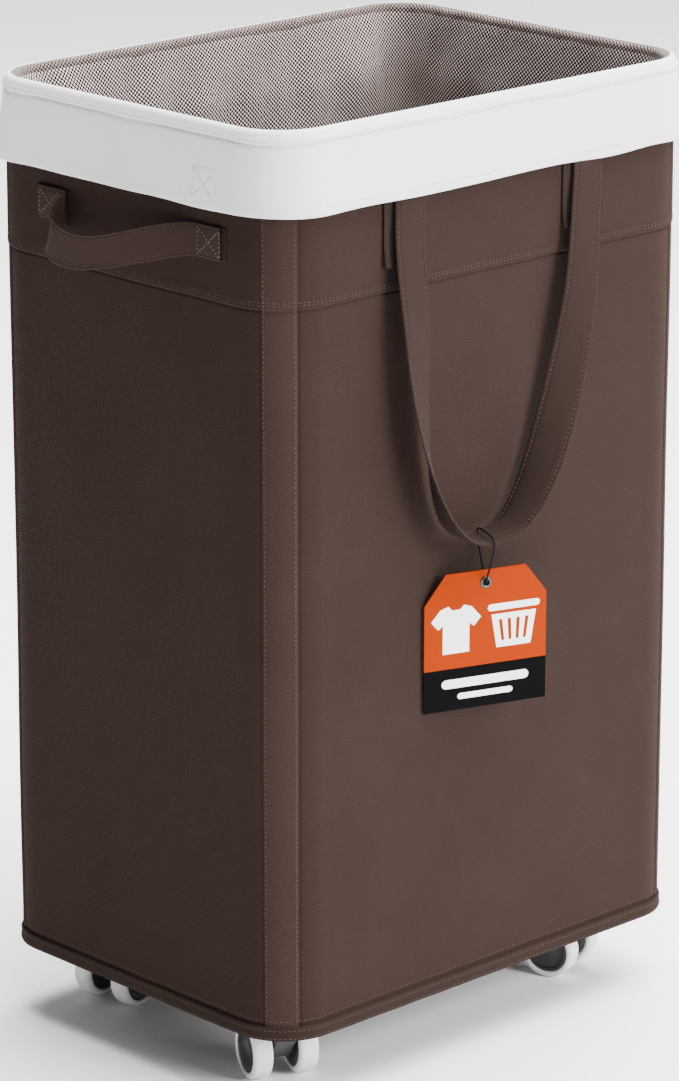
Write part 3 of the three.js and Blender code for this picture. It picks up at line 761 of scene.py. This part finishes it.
def make_collar():
    """The white collar, over the rim and down outside, with its lower edge turned up."""
    s = columns(4 * MM, CORNER_MIDDLES, 2.5 * MM, 50 * MM)
    bend = np.linspace(math.radians(84), math.radians(8), 8)
    over = [(-3.2 * MM + 5.1 * MM * math.cos(a), RIM - 3.4 * MM + 4.9 * MM * math.sin(a)) for a in bend]
    share = np.concatenate([
        np.array([4.6, 5.6, 6.2, 6.7, 7.1, 7.5, 8.0, 8.8, 10.5, 13]) * MM / (RIM - COLLAR_LOW),
        np.linspace(0.28, 0.84, 14), [0.865, 0.875, 0.885, 0.895, 0.91, 0.95, 1.0]])
    offset = [o for o, _ in over]
    height = [z for _, z in over]
    for k in share:
        depth = collar_drop(s) * k
        offset.append(collar_offset(s, depth))
        height.append(RIM - depth)
    # the lower edge is turned up inside
    edge_offset, edge_height = offset[-1], height[-1]
    for back, up in ((-0.5, -0.5), (-1.3, -0.5), (-1.8, 0.6), (-1.8, 5.5)):
        offset.append(edge_offset + back * MM)
        height.append(edge_height + up * MM)
    piece = wrapped("collar", s, offset, height, WHITE, "liner")
    thicken(piece, COLLAR_CLOTH)
    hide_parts("liner_collar")
    line_at = once_round(s)
    for depth in (TOP_HEM - 1.6 * MM, RIM - COLLAR_LOW - 7.6 * MM):
        stitch_along("liner", line_at, collar_offset(line_at, depth) + 0.1 * MM, RIM - depth,
                     length=2.0 * MM, thick=0.2 * MM, pitch=3.0 * MM)


def make_box_stitch(group, middle, half, rise, low, surface):
    """A sewn square with a cross in it. surface(s, z) gives the offset of the cloth."""
    border = [(-half, 0), (half, 0), (half, rise), (-half, rise), (-half, 0), (half, rise)]
    second_diagonal = [(half, 0), (-half, rise)]
    for path in (border, second_diagonal):
        along, up = [], []
        for (a, b), (c, d) in zip(path, path[1:]):
            t = np.linspace(0, 1, 12)
            along += list(middle + a + (c - a) * t)
            up += list(low + b + (d - b) * t)
        along, up = np.array(along), np.array(up)
        stitch_along(group, along, surface(along, up) - 0.2 * MM, up,
                     length=2.0 * MM, thick=0.42 * MM, pitch=2.9 * MM)


def make_collar_patch():
    """The small sewn square on the collar near the front left corner, on the left side."""
    middle = LEFT_MIDDLE + 84 * MM
    low = COLLAR_LOW + 8 * MM
    half, tall = 11 * MM, 20 * MM
    margin = 1 * MM

    def surface(s, z):
        return collar_offset(s, RIM - z) + 0.5 * MM

    a, b = np.meshgrid(
        np.linspace(-half - margin, half + margin, 27), np.linspace(-margin, tall + margin, 25))
    slope = half / tall * 2
    cross = [np.abs(a - sign * (b * slope - half)) / math.hypot(1, slope) for sign in (-1, 1)]
    border = [np.abs(a + half), np.abs(a - half), np.abs(b), np.abs(b - tall)]
    near = np.min(cross + border, axis=0)
    puff = 0.9 * MM * (1 - ridge(near, 1.1 * MM))
    edge = np.minimum(half + margin - np.abs(a), np.minimum(b + margin, tall + margin - b))
    puff = puff - 1.0 * MM * ridge(edge, 0.4 * MM)
    at, z = (middle + a).ravel(), (low + b).ravel()
    points, _ = around(at, surface(at, z) - 0.35 * MM + puff.ravel(), z)
    uv = np.stack([at, z], -1)
    make("collar_patch", points, grid_faces(*a.shape), WHITE, "liner", uv)
    make_box_stitch("liner", middle, half, tall, low, surface)
    # a loose end of thread beside the square
    loose = middle - 13 * MM
    stitch_along("liner", np.array([loose, loose - 2 * MM]), surface(np.full(2, loose), low) + 0.6 * MM,
                 low + 6 * MM, length=2 * MM, thick=0.5 * MM, pitch=1.9 * MM)


# ---------------------------------------- ribbons
def ribbon(name, middle, across, out, width, thick, material, body, cup=0.0):
    """A closed strip of webbing along the points of middle, with rounded edges."""
    across, out = np.broadcast_to(across, middle.shape), np.broadcast_to(out, middle.shape)
    # places across the webbing, from one edge to the other, closest at its woven edges
    t = np.array([-1, -0.985, -0.94, -0.88, -0.83, -0.79, -0.74, -0.6, -0.3, 0,
                  0.3, 0.6, 0.74, 0.79, 0.83, 0.88, 0.94, 0.985, 1])
    edge = np.sqrt(np.clip(1 - (np.abs(t) ** 16), 0.0, 1)) * thick / 2
    edge = edge - 0.3 * thick * ridge(np.abs(t) - 0.80, 0.035)
    core = middle[:, None] + across[:, None] * (t * width / 2)[None, :, None]
    core = core + (cup * (1 - t ** 2))[None, :, None] * out[:, None]
    skin = out[:, None] * (edge + 0.02 * MM)[None, :, None]
    front, rear = core + skin, core - skin
    ring = np.concatenate([front, rear[:, ::-1]], 1)
    count = ring.shape[1]
    run = run_along(middle)
    lane = np.concatenate([t, t[::-1] + 2.2]) * width / 2
    uv = np.stack(np.broadcast_arrays(lane[None], run[:, None]), -1)
    faces = grid_faces(len(middle), count, wrap_columns=True) + end_faces(len(middle), count)
    return make(name, ring.reshape(-1, 3), faces, material, body, uv.reshape(-1, 2), joined=True)


def edge_stitches(group, middle, across, out, width, thick, inset=2.6 * MM, cup=0.0):
    """A row of stitches near each edge of a ribbon, on both of its faces."""
    across, out = np.broadcast_to(across, middle.shape), np.broadcast_to(out, middle.shape)
    for side in (-1, 1):
        at = side * (width / 2 - inset)
        bow = cup * (1 - (2 * at / width) ** 2)
        for face in (-1, 1):
            line = middle + across * at + out * (bow + face * (thick / 2 + 0.08 * MM))
            stitch(group, line, out * face)


def unit(v):
    """v made one long, row by row."""
    return v / (np.linalg.norm(v, axis=-1, keepdims=True) + 1e-12)


STRAP_SPAN = 170 * MM
STRAP_SKEW = -24 * MM
STRAP_DROP = 240 * MM
STRAP_WIDTH = 28 * MM
STRAP_TOP = COLLAR_LOW - 4 * MM
STRAP_Y = -(HALF_W + 12 * MM)
STRAP_BELLY = 6 * MM


def strap_path():
    """Middle line, width direction and outward direction of the hanging front strap."""
    # a U a little squarer than half an ellipse, which turns edge-on at its bottom
    angle = np.linspace(0, math.pi, 121)
    side, down = np.cos(angle), np.clip(np.sin(angle), 0, 1)
    fall = down ** (2 / 1.6)
    x = -np.sign(side) * np.abs(side) ** (2 / 2.6) * STRAP_SPAN / 2 + STRAP_SKEW * fall
    share = np.clip(fall / 0.4, 0, 1)
    near_wall = 1 - share ** 2 * (3 - 2 * share)
    y = STRAP_Y - STRAP_BELLY * fall + 6.6 * MM * near_wall
    z = STRAP_TOP - STRAP_DROP * fall
    roll = fall ** 2 * math.pi / 2
    middle = np.stack([x, y, z], -1)
    # the legs run on up behind the collar, against the wall
    up = np.linspace(16, 2, 6) * MM
    left = middle[0] + np.stack([0 * up, 0.08 * up, up], -1)
    right = (middle[-1] + np.stack([0 * up, 0.08 * up, up], -1))[::-1]
    middle = np.concatenate([left, middle, right])
    roll = np.concatenate([np.zeros(6), roll, np.zeros(6)])
    along = unit(np.gradient(middle, axis=0))
    flat = np.array([0.0, -1.0, 0.0])
    inward = -unit(np.cross(along, flat))
    level = unit(np.cross(along, inward))
    out = level * np.cos(roll)[:, None] + inward * np.sin(roll)[:, None]
    return middle, unit(np.cross(out, along)), out


def swinging(name, node, middle, across, out, width, cloth, blend):
    """The webbing in place of the body called node, and its rows of stitches."""
    piece = ribbon(name, middle, across, out, width, LOOP_THICK, cloth, blend, cup=LOOP_CUP)
    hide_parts(node)
    edge_stitches(node, middle, across, out, width, LOOP_THICK, cup=LOOP_CUP)
    make_stitches(node, f"{node}_stitches", THREAD, blend)


def sewn_down(name, node, line, across, out, width):
    """A flat piece of webbing sewn to the wall along line."""
    piece = ribbon(name, line, across, out, width, SEWN_THICK, STRAP_CLOTH, "basket")
    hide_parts(node)


def turned(points, half_turn):
    """The same points turned half round the box's vertical axis."""
    return points * np.array([-1, -1, 1]) if half_turn else points


def make_strap(side, half_turn):
    """A carrying strap, its hanging loop and its two ends sewn to the wall."""
    middle, across, out = (turned(v, half_turn) for v in strap_path())
    flip = -1 if half_turn else 1
    start = (0, flip * (STRAP_Y + 8 * MM), STRAP_TOP + 9 * MM)
    end = (0, flip * STRAP_Y, STRAP_TOP - 16 * MM)
    blend = ("basket", f"{side}_strap", start, end)
    swinging(f"{side}_carry_strap", f"{side}_strap", middle, across, out, STRAP_WIDTH,
             STRAP_CLOTH, blend)
    for end_name in ("left", "right"):
        node = f"{side}_strap_anchor_{end_name}"
        low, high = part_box(node)
        top = high.z + 14 * MM
        z = np.linspace(low.z, top, 24)
        lift = 2.2 * MM * np.clip((low.z + 22 * MM - z) / (22 * MM), 0, 1) ** 2
        y = flip * (-(HALF_W + 2.0 * MM) - lift)
        x = np.full(len(z), (low.x + high.x) / 2)
        tail = np.stack([x, y, z], -1)
        wide, face = (1.0, 0.0, 0.0), (0.0, -1.0 * flip, 0.0)
        width = high.x - low.x - 1 * MM
        sewn_down(f"{side}_strap_end_{end_name}", node, tail, wide, face, width)
        edge_stitches("box", tail, wide, face, width, SEWN_THICK)


# (along the wall from the rear patch, out from the wall, down), in millimetres
HANDLE_ROUTE = (
    (-26, 0, 0), (-14, 0, 0), (-3, 0.1, 0), (0, 0.8, 0.6), (1.2, 5, 4), (1.8, 10, 9), (4, 16, 14),
    (12, 22, 18.5), (30, 26.5, 20.5), (55, 28, 18.5), (82, 24, 12), (104, 14, 5.5), (120, 5, 1.5),
    (130, 0.8, 0), (138, 0, 0), (146, 0, 0), (156, 0, 0))


def make_handle(side, half_turn):
    """A short handle: a ribbon that bows out and sags between two sewn patches."""
    flip = -1 if half_turn else 1
    patches = [n for n in frame["nodes"] if n.startswith(f"{side}_handle_patch")]
    low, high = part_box(patches[0])
    width = high.z - low.z
    level = (low.z + high.z) / 2
    wall = HALF_L + 2.75 * MM
    rear = 60 * MM
    route = [(-wall - out * MM, rear - run * MM, level - down * MM) for run, out, down in HANDLE_ROUTE]
    middle = catmull(route, 6)
    along = unit(np.gradient(middle, axis=0))
    out = unit(np.cross(along, np.broadcast_to([0.0, 0.0, -1.0], along.shape)))
    lean = 0.42 * np.clip((-wall - middle[:, :1]) / (28 * MM), 0, 1)
    out = unit(out * -np.sign(out[:, :1] + 1e-9) + lean * np.array([0, 0, 1.0]))
    across = unit(np.cross(out, along))
    middle, across, out = (turned(v, half_turn) for v in (middle, across, out))
    start, end = ((-flip * (wall + out_by * MM), 0, level) for out_by in (0.6, 9))
    blend = ("basket", f"{side}_handle", start, end)
    # the handle's webbing takes the lighter twill, a painted highlight
    swinging(f"{side}_side_handle", f"{side}_handle", middle, across, out, width,
             HANDLE_PAINTED_LIGHT_CLOTH, blend)
    for node in patches:
        low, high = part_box(node)
        y = np.linspace(low.y, high.y, 18)
        line = np.stack([np.full(18, flip * -(HALF_L + 1.15 * MM)), y, np.full(18, level)], -1)
        face = (-1.0 * flip, 0.0, 0.0)
        sewn_down(f"{node}_sewn", node, line, (0.0, 0.0, 1.0), face, width)
        middle_y, half = (low.y + high.y) / 2, (high.y - low.y) / 2 - 4.5 * MM
        rise = width / 2 - 2.3 * MM
        x = flip * -(wall + 1.1 * MM)
        # the stitches cross the patch twice and run up both of its ends
        path = [(-half, -rise), (-half, rise), (half, -rise), (half, rise), (-half, -rise)]
        points = []
        for (a, b), (c, d) in zip(path, path[1:]):
            t = np.linspace(0, 1, 10)
            points += [(x, middle_y + a + (c - a) * k, level + b + (d - b) * k) for k in t]
        stitch("patch", points, face, 2.4 * MM, 0.5 * MM, 2.9 * MM)


# ---------------------------------------- hang tag
def tag_point(a, out, z):
    """A place on the turned tag: a along its width and out in front of its middle."""
    c, d = math.cos(TAG_TURN), math.sin(TAG_TURN)
    return (TAG_MIDDLE.x + a * c + out * d, TAG_MIDDLE.y + a * d - out * c, z)


def slab(name, loops, front, back, material):
    """A flat plate in the tag's plane from an outline and its holes, given as (a, z) loops."""
    flat = [p for loop in loops for p in loop]
    n = len(flat)
    triangles = tessellate_polygon([[Vector((a, z, 0)) for a, z in loop] for loop in loops])
    points = [tag_point(a, front, z) for a, z in flat] + [tag_point(a, back, z) for a, z in flat]
    faces = [tuple(t) for t in triangles] + [tuple(i + n for i in reversed(t)) for t in triangles]
    start = 0
    sides = []
    for loop in loops:
        m = len(loop)
        for i in range(m):
            j = (i + 1) % m
            sides.append((start + i, start + j, start + j + n, start + i + n))
        start += m
    return make(name, points, faces + sides, material, "tag", smooth=False, joined=True)


def circle(x, z, r, n=32):
    """A loop of n points round (x, z)."""
    return [(x + r * math.cos(TAU * i / n), z + r * math.sin(TAU * i / n)) for i in range(n)]


def rounded_bar(x, z, half, tall, n=8):
    """A loop round a level bar: half its length to each side and tall up and down, with round ends."""
    left = [(x - half - tall * math.sin(a), z + tall * math.cos(a)) for a in np.linspace(0, math.pi, n)]
    right = [(x + half + tall * math.sin(a), z - tall * math.cos(a)) for a in np.linspace(0, math.pi, n)]
    return left + right


def make_tag():
    """The card with its dark band, its printed shapes and its eyelet, which it returns."""
    half = 46.5 * MM
    cut_in, cut_down = 16 * MM, 21 * MM  # the cut corners at the top
    top, low = TAG_HIGH.z, TAG_LOW.z
    split = low + 30 * MM
    eyelet = top - EYELET_DROP
    upper = [
        (-half, split), (half, split), (half, top - cut_down), (half - cut_in, top),
        (cut_in - half, top), (-half, top - cut_down)]
    face = slab("tag_upper", [upper, circle(0, eyelet, 2.5 * MM)], TAG_FRONT, -TAG_FRONT, ORANGE)
    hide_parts("hang_tag")
    lower = [(-half, low), (half, low), (half, split), (-half, split)]
    slab("tag_band", [lower], TAG_FRONT, -TAG_FRONT, CHARCOAL)

    def printed(name, *loops):
        slab(name, list(loops), TAG_FRONT + 0.12 * MM, TAG_FRONT - 0.05 * MM, CARD_WHITE)

    # a shirt and a basket stand for what the hamper holds
    cx, cz = -22.5 * MM, split + 28 * MM
    shirt = [(-6, 17), (-12, 15), (-19, 7), (-13.5, 1), (-10, 4), (-10, -17), (10, -17), (10, 4), (13.5, 1),
             (19, 7), (12, 15), (6, 17), (3, 14), (-3, 14)]
    printed("tag_shirt", [(cx + a * MM, cz + b * MM) for a, b in reversed(shirt)])
    cx = 21.5 * MM
    body = [(-17, 7), (17, 7), (13, -17), (-13, -17)]
    slots = []
    for k in (-10.2, -3.4, 3.4, 10.2):
        slots.append([(k - 1.4, 3), (k + 1.4, 3), (k * 0.8 + 1.2, -12.5), (k * 0.8 - 1.2, -12.5)])
    printed("tag_basket", *[[(cx + a * MM, cz + b * MM) for a, b in loop] for loop in [body, *slots]])
    printed("tag_basket_rim", rounded_bar(cx, cz + 12 * MM, 17.5 * MM, 2.4 * MM))
    printed("tag_line_long", rounded_bar(0, low + 19 * MM, 30 * MM, 3.2 * MM))
    printed("tag_line_short", rounded_bar(0, low + 9.5 * MM, 19 * MM, 2.1 * MM))
    return make_eyelet(eyelet)


def make_eyelet(z):
    """A metal ring through the card at height z, the same on both faces."""
    ring = [(2.2, 0.0), (2.6, 0.55), (3.4, 0.75), (4.2, 0.45), (4.4, 0.1), (3.0, 0.1), (2.45, 0.0)]
    profile = [(r * MM, TAG_FRONT + h * MM) for r, h in ring]
    profile += [(r, -h) for r, h in reversed(profile)]
    n = 36
    points = []
    for r, h in profile:
        points += [tag_point(r * math.cos(TAU * i / n), h, z + r * math.sin(TAU * i / n)) for i in range(n)]
    faces = grid_faces(len(profile), n, wrap_rows=True, wrap_columns=True)
    return make("tag_eyelet", points, faces, EYELET, "tag", joined=True)


def catmull(points, per=12):
    """A smooth line through points, with per steps between neighbours."""
    p = np.array(points)
    p = np.concatenate([[2 * p[0] - p[1]], p, [2 * p[-1] - p[-2]]])
    line = []
    for i in range(1, len(p) - 2):
        for t in np.arange(per) / per:
            a, b, c, d = p[i - 1:i + 3]
            line.append(0.5 * (2 * b + (c - a) * t + (2 * a - 5 * b + 4 * c - d) * t * t
                               + (3 * b - a - 3 * c + d) * t ** 3))
    line.append(p[-2])
    return np.array(line)


STRING_THICK = 1.36 * MM
STRING_SIDES = 10


def make_string(pieces):
    """The string loop: out of the eyelet, round the bottom of the strap and back. pieces is not used."""
    x, y = TAG_MIDDLE.x, TAG_MIDDLE.y
    eyelet = TAG_HIGH.z - EYELET_DROP
    strap = eyelet + STRING_DROP
    # (across and out in millimetres, height in metres)
    route = [
        (-0.8, -1.6, eyelet), (-1.6, -3, eyelet + 4 * MM), (-5, -10, eyelet + 16 * MM),
        (-8, -16, strap - 2 * MM), (-6, -13, strap + 3.4 * MM), (0, 0, strap + 4.4 * MM),
        (6, 13, strap + 3.4 * MM), (8, 16, strap - 2 * MM), (5, 10, eyelet + 16 * MM),
        (1.6, 3, eyelet + 4 * MM), (0.8, 1.6, eyelet)]
    line = catmull([(x + a * MM, y + b * MM, z) for a, b, z in route])
    tangent = unit(np.gradient(line, axis=0))
    side = unit(np.cross(tangent, (0.35, 0.93, 0.1)))
    other = np.cross(tangent, side)
    angle = np.linspace(0, TAU, STRING_SIDES, endpoint=False)[None, :, None]
    ring = np.cos(angle) * side[:, None] + np.sin(angle) * other[:, None]
    points = (line[:, None] + STRING_THICK / 2 * ring).reshape(-1, 3)
    faces = grid_faces(len(line), STRING_SIDES, wrap_columns=True) + end_faces(len(line), STRING_SIDES)
    blend = ("front_strap", "tag", (x, y, strap - 2.5 * MM), (x, y, eyelet + 7 * MM))
    piece = make("string", points, faces, CORD, blend, joined=True)
    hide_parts("tag_string")


# ---------------------------------------- casters
def lathe(name, profile, at, axis, material, body, n=64):
    """Turns a profile of (radius, distance along the axis) about the axis through at."""
    axis = Vector(axis).normalized()
    side = axis.orthogonal().normalized()
    other = axis.cross(side)
    points = []
    for r, h in profile:
        for i in range(n):
            a = TAU * i / n
            points.append(Vector(at) + axis * h + (side * math.cos(a) + other * math.sin(a)) * r)
    faces = grid_faces(len(profile), n, wrap_rows=True, wrap_columns=True)
    return make(name, points, faces, material, body, joined=True)


def make_wheel(corner, side):
    """One tyre and its hub, turned about the axle the frame gives."""
    spin = next(j for j in frame["joints"] if j["name"] == f"spin_{corner}_{side}")
    centre = Vector(spin["pos_m"])
    axis = Vector(spin["axis"]).normalized()
    low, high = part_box(f"tyre_{corner}_{side}")
    if axis.dot((low + high) / 2 - centre) < 0:
        axis = -axis
    body = f"wheel_{corner}_{side}"
    # the tyre's two sides along the axle, and the radius of its tread and of its hole
    near, far, radius, bore = 9.6 * MM, 24.4 * MM, 20.95 * MM, 16.4 * MM
    arc = np.linspace(0, math.pi / 2, 7)
    r = 3.2 * MM
    tread = [(radius - r + r * math.sin(a), near + r - r * math.cos(a)) for a in arc]
    tread += [(radius - r + r * math.cos(a), far - r + r * math.sin(a)) for a in arc]
    profile = [(bore, near + 0.3 * MM), *tread, (bore + 1.0 * MM, far), (bore, far - 0.6 * MM)]
    tyre = lathe(f"{body}_tyre", profile, centre, axis, TYRE, body)
    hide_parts(f"tyre_{corner}_{side}")
    face = far - 0.7 * MM
    # (radius, out from the hub's face), in millimetres
    disc = [(16.25, -0.8), (15.8, -0.2), (15.0, 0), (13.9, -0.1), (13.3, -0.7), (12.4, -0.8), (6.2, -0.5),
            (5.4, -0.1), (4.6, 0.2), (2.0, 0.3), (0.02, 0.3), (0.02, -3), (2.3, -3)]
    profile = [(2.3 * MM, near), (15.9 * MM, near), (16.25 * MM, near + 0.6 * MM)]
    profile += [(a * MM, face + b * MM) for a, b in disc]
    hub = lathe(f"{body}_hub", profile, centre, axis, BLACK, body)
    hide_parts(f"hub_{corner}_{side}")


def make_fork(corner):
    """The hood between the wheels, with its domed top, and the mounting disc above it."""
    spin = next(j for j in frame["joints"] if j["name"] == f"spin_{corner}_a")
    swivel = next(j for j in frame["joints"] if j["name"] == f"swivel_{corner}")
    pivot = Vector((swivel["pos_m"][0], swivel["pos_m"][1], 0))
    axle = Vector((spin["pos_m"][0], spin["pos_m"][1], 0))
    trail = (axle - pivot).length
    along = (axle - pivot).normalized()
    across = Vector((0, 0, 1)).cross(along)
    wheel_z = spin["pos_m"][2]
    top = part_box(f"caster_plate_{corner}")[0].z - 0.3 * MM
    body = f"caster_{corner}"
    outline_points = []
    boss = 8.5 * MM
    for a in np.linspace(-0.75 * math.pi, 0.1 * math.pi, 14):
        outline_points.append((trail + boss * math.cos(a), wheel_z + boss * math.sin(a)))
    reach = trail + 9 * MM
    for a in np.linspace(0, math.pi / 2, 8):
        outline_points.append((trail - 6 * MM + (reach - trail + 6 * MM) * math.cos(a),
                               top - 16 * MM + 16 * MM * math.sin(a)))
    for a in np.linspace(math.pi / 2, math.pi, 6):
        outline_points.append((-5 * MM + 6 * MM * math.cos(a), top - 6 * MM + 6 * MM * math.sin(a)))
    outline_points.append((-10.5 * MM, top - 12 * MM))
    half = 8.3 * MM
    # (place across the hood, share of the outline's size there)
    lanes = [(-1.0, 0.88), (-0.96, 0.95), (-0.86, 1.0), (0.86, 1.0), (0.96, 0.95), (1.0, 0.88)]
    middle = np.mean(outline_points, axis=0)
    points = []
    for k, shrink in lanes:
        for a, z in outline_points:
            a2, z2 = middle[0] + (a - middle[0]) * shrink, middle[1] + (z - middle[1]) * shrink
            points.append(pivot + along * a2 + across * (half * k) + Vector((0, 0, z2)))
    n = len(outline_points)
    faces = grid_faces(len(lanes), n, wrap_columns=True) + end_faces(len(lanes), n)
    hood = make(f"{body}_hood", points, faces, GREY, body, joined=True)
    shade_by_angle(hood)
    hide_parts(f"caster_fork_{corner}")
    neck = [(0.02 * MM, top - 3 * MM), (9.5 * MM, top - 3 * MM), (9.5 * MM, top - 0.2 * MM),
            (4.0 * MM, top - 0.05 * MM), (4.0 * MM, top + 2.4 * MM), (0.02 * MM, top + 2.4 * MM)]
    lathe(f"{body}_stem", neck, pivot, (0, 0, 1), GREY, body, 40)
    low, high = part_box(f"caster_plate_{corner}")
    rim = (high.x - low.x) / 2
    plate = [(4.4 * MM, low.z + 0.1 * MM), (rim - 4 * MM, low.z), (rim - 1.2 * MM, low.z + 0.7 * MM),
             (rim, low.z + 1.6 * MM), (rim, high.z), (4.4 * MM, high.z)]
    disc = lathe(f"caster_{corner}_disc", plate, pivot, (0, 0, 1), BLACK, "basket", 56)
    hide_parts(f"caster_plate_{corner}")
    # rivet heads, nearly flush so that the hood turns clear of them
    head = [(0.02 * MM, low.z - 0.15 * MM), (1.2 * MM, low.z - 0.15 * MM), (2.2 * MM, low.z - 0.05 * MM),
            (2.5 * MM, low.z + 0.3 * MM), (0.02 * MM, low.z + 0.3 * MM)]
    for k in range(4):
        a = math.pi / 4 + k * math.pi / 2
        at = pivot + Vector((math.cos(a), math.sin(a), 0)) * (rim - 6.5 * MM)
        lathe(f"caster_{corner}_rivet_{k}", head, at, (0, 0, 1), STEEL, "basket", 20)


def shade_by_angle(piece, degrees=35):
    """Smooth shading, sharp where faces meet at more than degrees."""
    mesh = piece.data
    mesh.polygons.foreach_set("use_smooth", [True] * len(mesh.polygons))
    mesh.set_sharp_from_angle(angle=math.radians(degrees))


# ---------------------------------------- floor and light
def make_stage():
    bpy.ops.mesh.primitive_plane_add(size=30, location=(0, 0, 0))
    floor = bpy.context.object
    floor.name = "studio_floor"
    n = Nodes("studio_floor", 0.9, 0.2)
    n.colour(n.mix(n.noise(3, 2), (0.93, 0.93, 0.93), (0.96, 0.96, 0.96)))
    floor.data.materials.append(n.material)
    world = bpy.data.worlds.new("studio")
    bpy.context.scene.world = world
    world.use_nodes = True
    background = world.node_tree.nodes["Background"]
    background.inputs[0].default_value = (1, 1, 1, 1)
    background.inputs[1].default_value = 0.42
    aim_at = Vector((0, 0, 0.35))
    # name, place, size in metres, power in watts
    for name, at, size, power in (
        ("key", (1.0, -3.9, 1.9), 2.0, 350),
        ("top", (1.0, -0.3, 3.6), 4.0, 850),
    ):
        light = bpy.data.lights.new(name, "AREA")
        light.energy = power
        light.size = size
        lamp = bpy.data.objects.new(name, light)
        lamp.location = at
        lamp.rotation_mode = "QUATERNION"
        lamp.rotation_quaternion = (aim_at - Vector(at)).to_track_quat("-Z", "Y")
        bpy.context.scene.collection.objects.link(lamp)


def finish_carried_nodes():
    """CAD nodes that stay as they are get their finish."""
    for name, node in frame["nodes"].items():
        if name == "rim_wire" or name.startswith(("corner_pole", "caster_axle")):
            node.data.materials.clear()
            node.data.materials.append(STEEL)
            shade_by_angle(node, 50)


make_camera()
make_string([make_tag()])
make_shell()
make_shell_stitches()
make_rim_hem()
make_binding()
make_base()
make_net()
make_rim_tape()
for corner_name in CORNERS:
    make_pole_sleeve(f"corner_pole_{corner_name}")
make_collar()
make_collar_patch()
make_strap("front", False)
make_strap("back", True)
make_handle("left", False)
make_handle("right", True)
make_stitches("box", "box_stitches", THREAD, "basket")
make_stitches("patch", "patch_stitches", BRIGHT_THREAD, "basket")
make_stitches("liner", "collar_stitches", WHITE_THREAD, "liner")
for corner_name in CORNERS:
    make_fork(corner_name)
    make_wheel(corner_name, "a")
    make_wheel(corner_name, "b")
finish_carried_nodes()
make_stage()
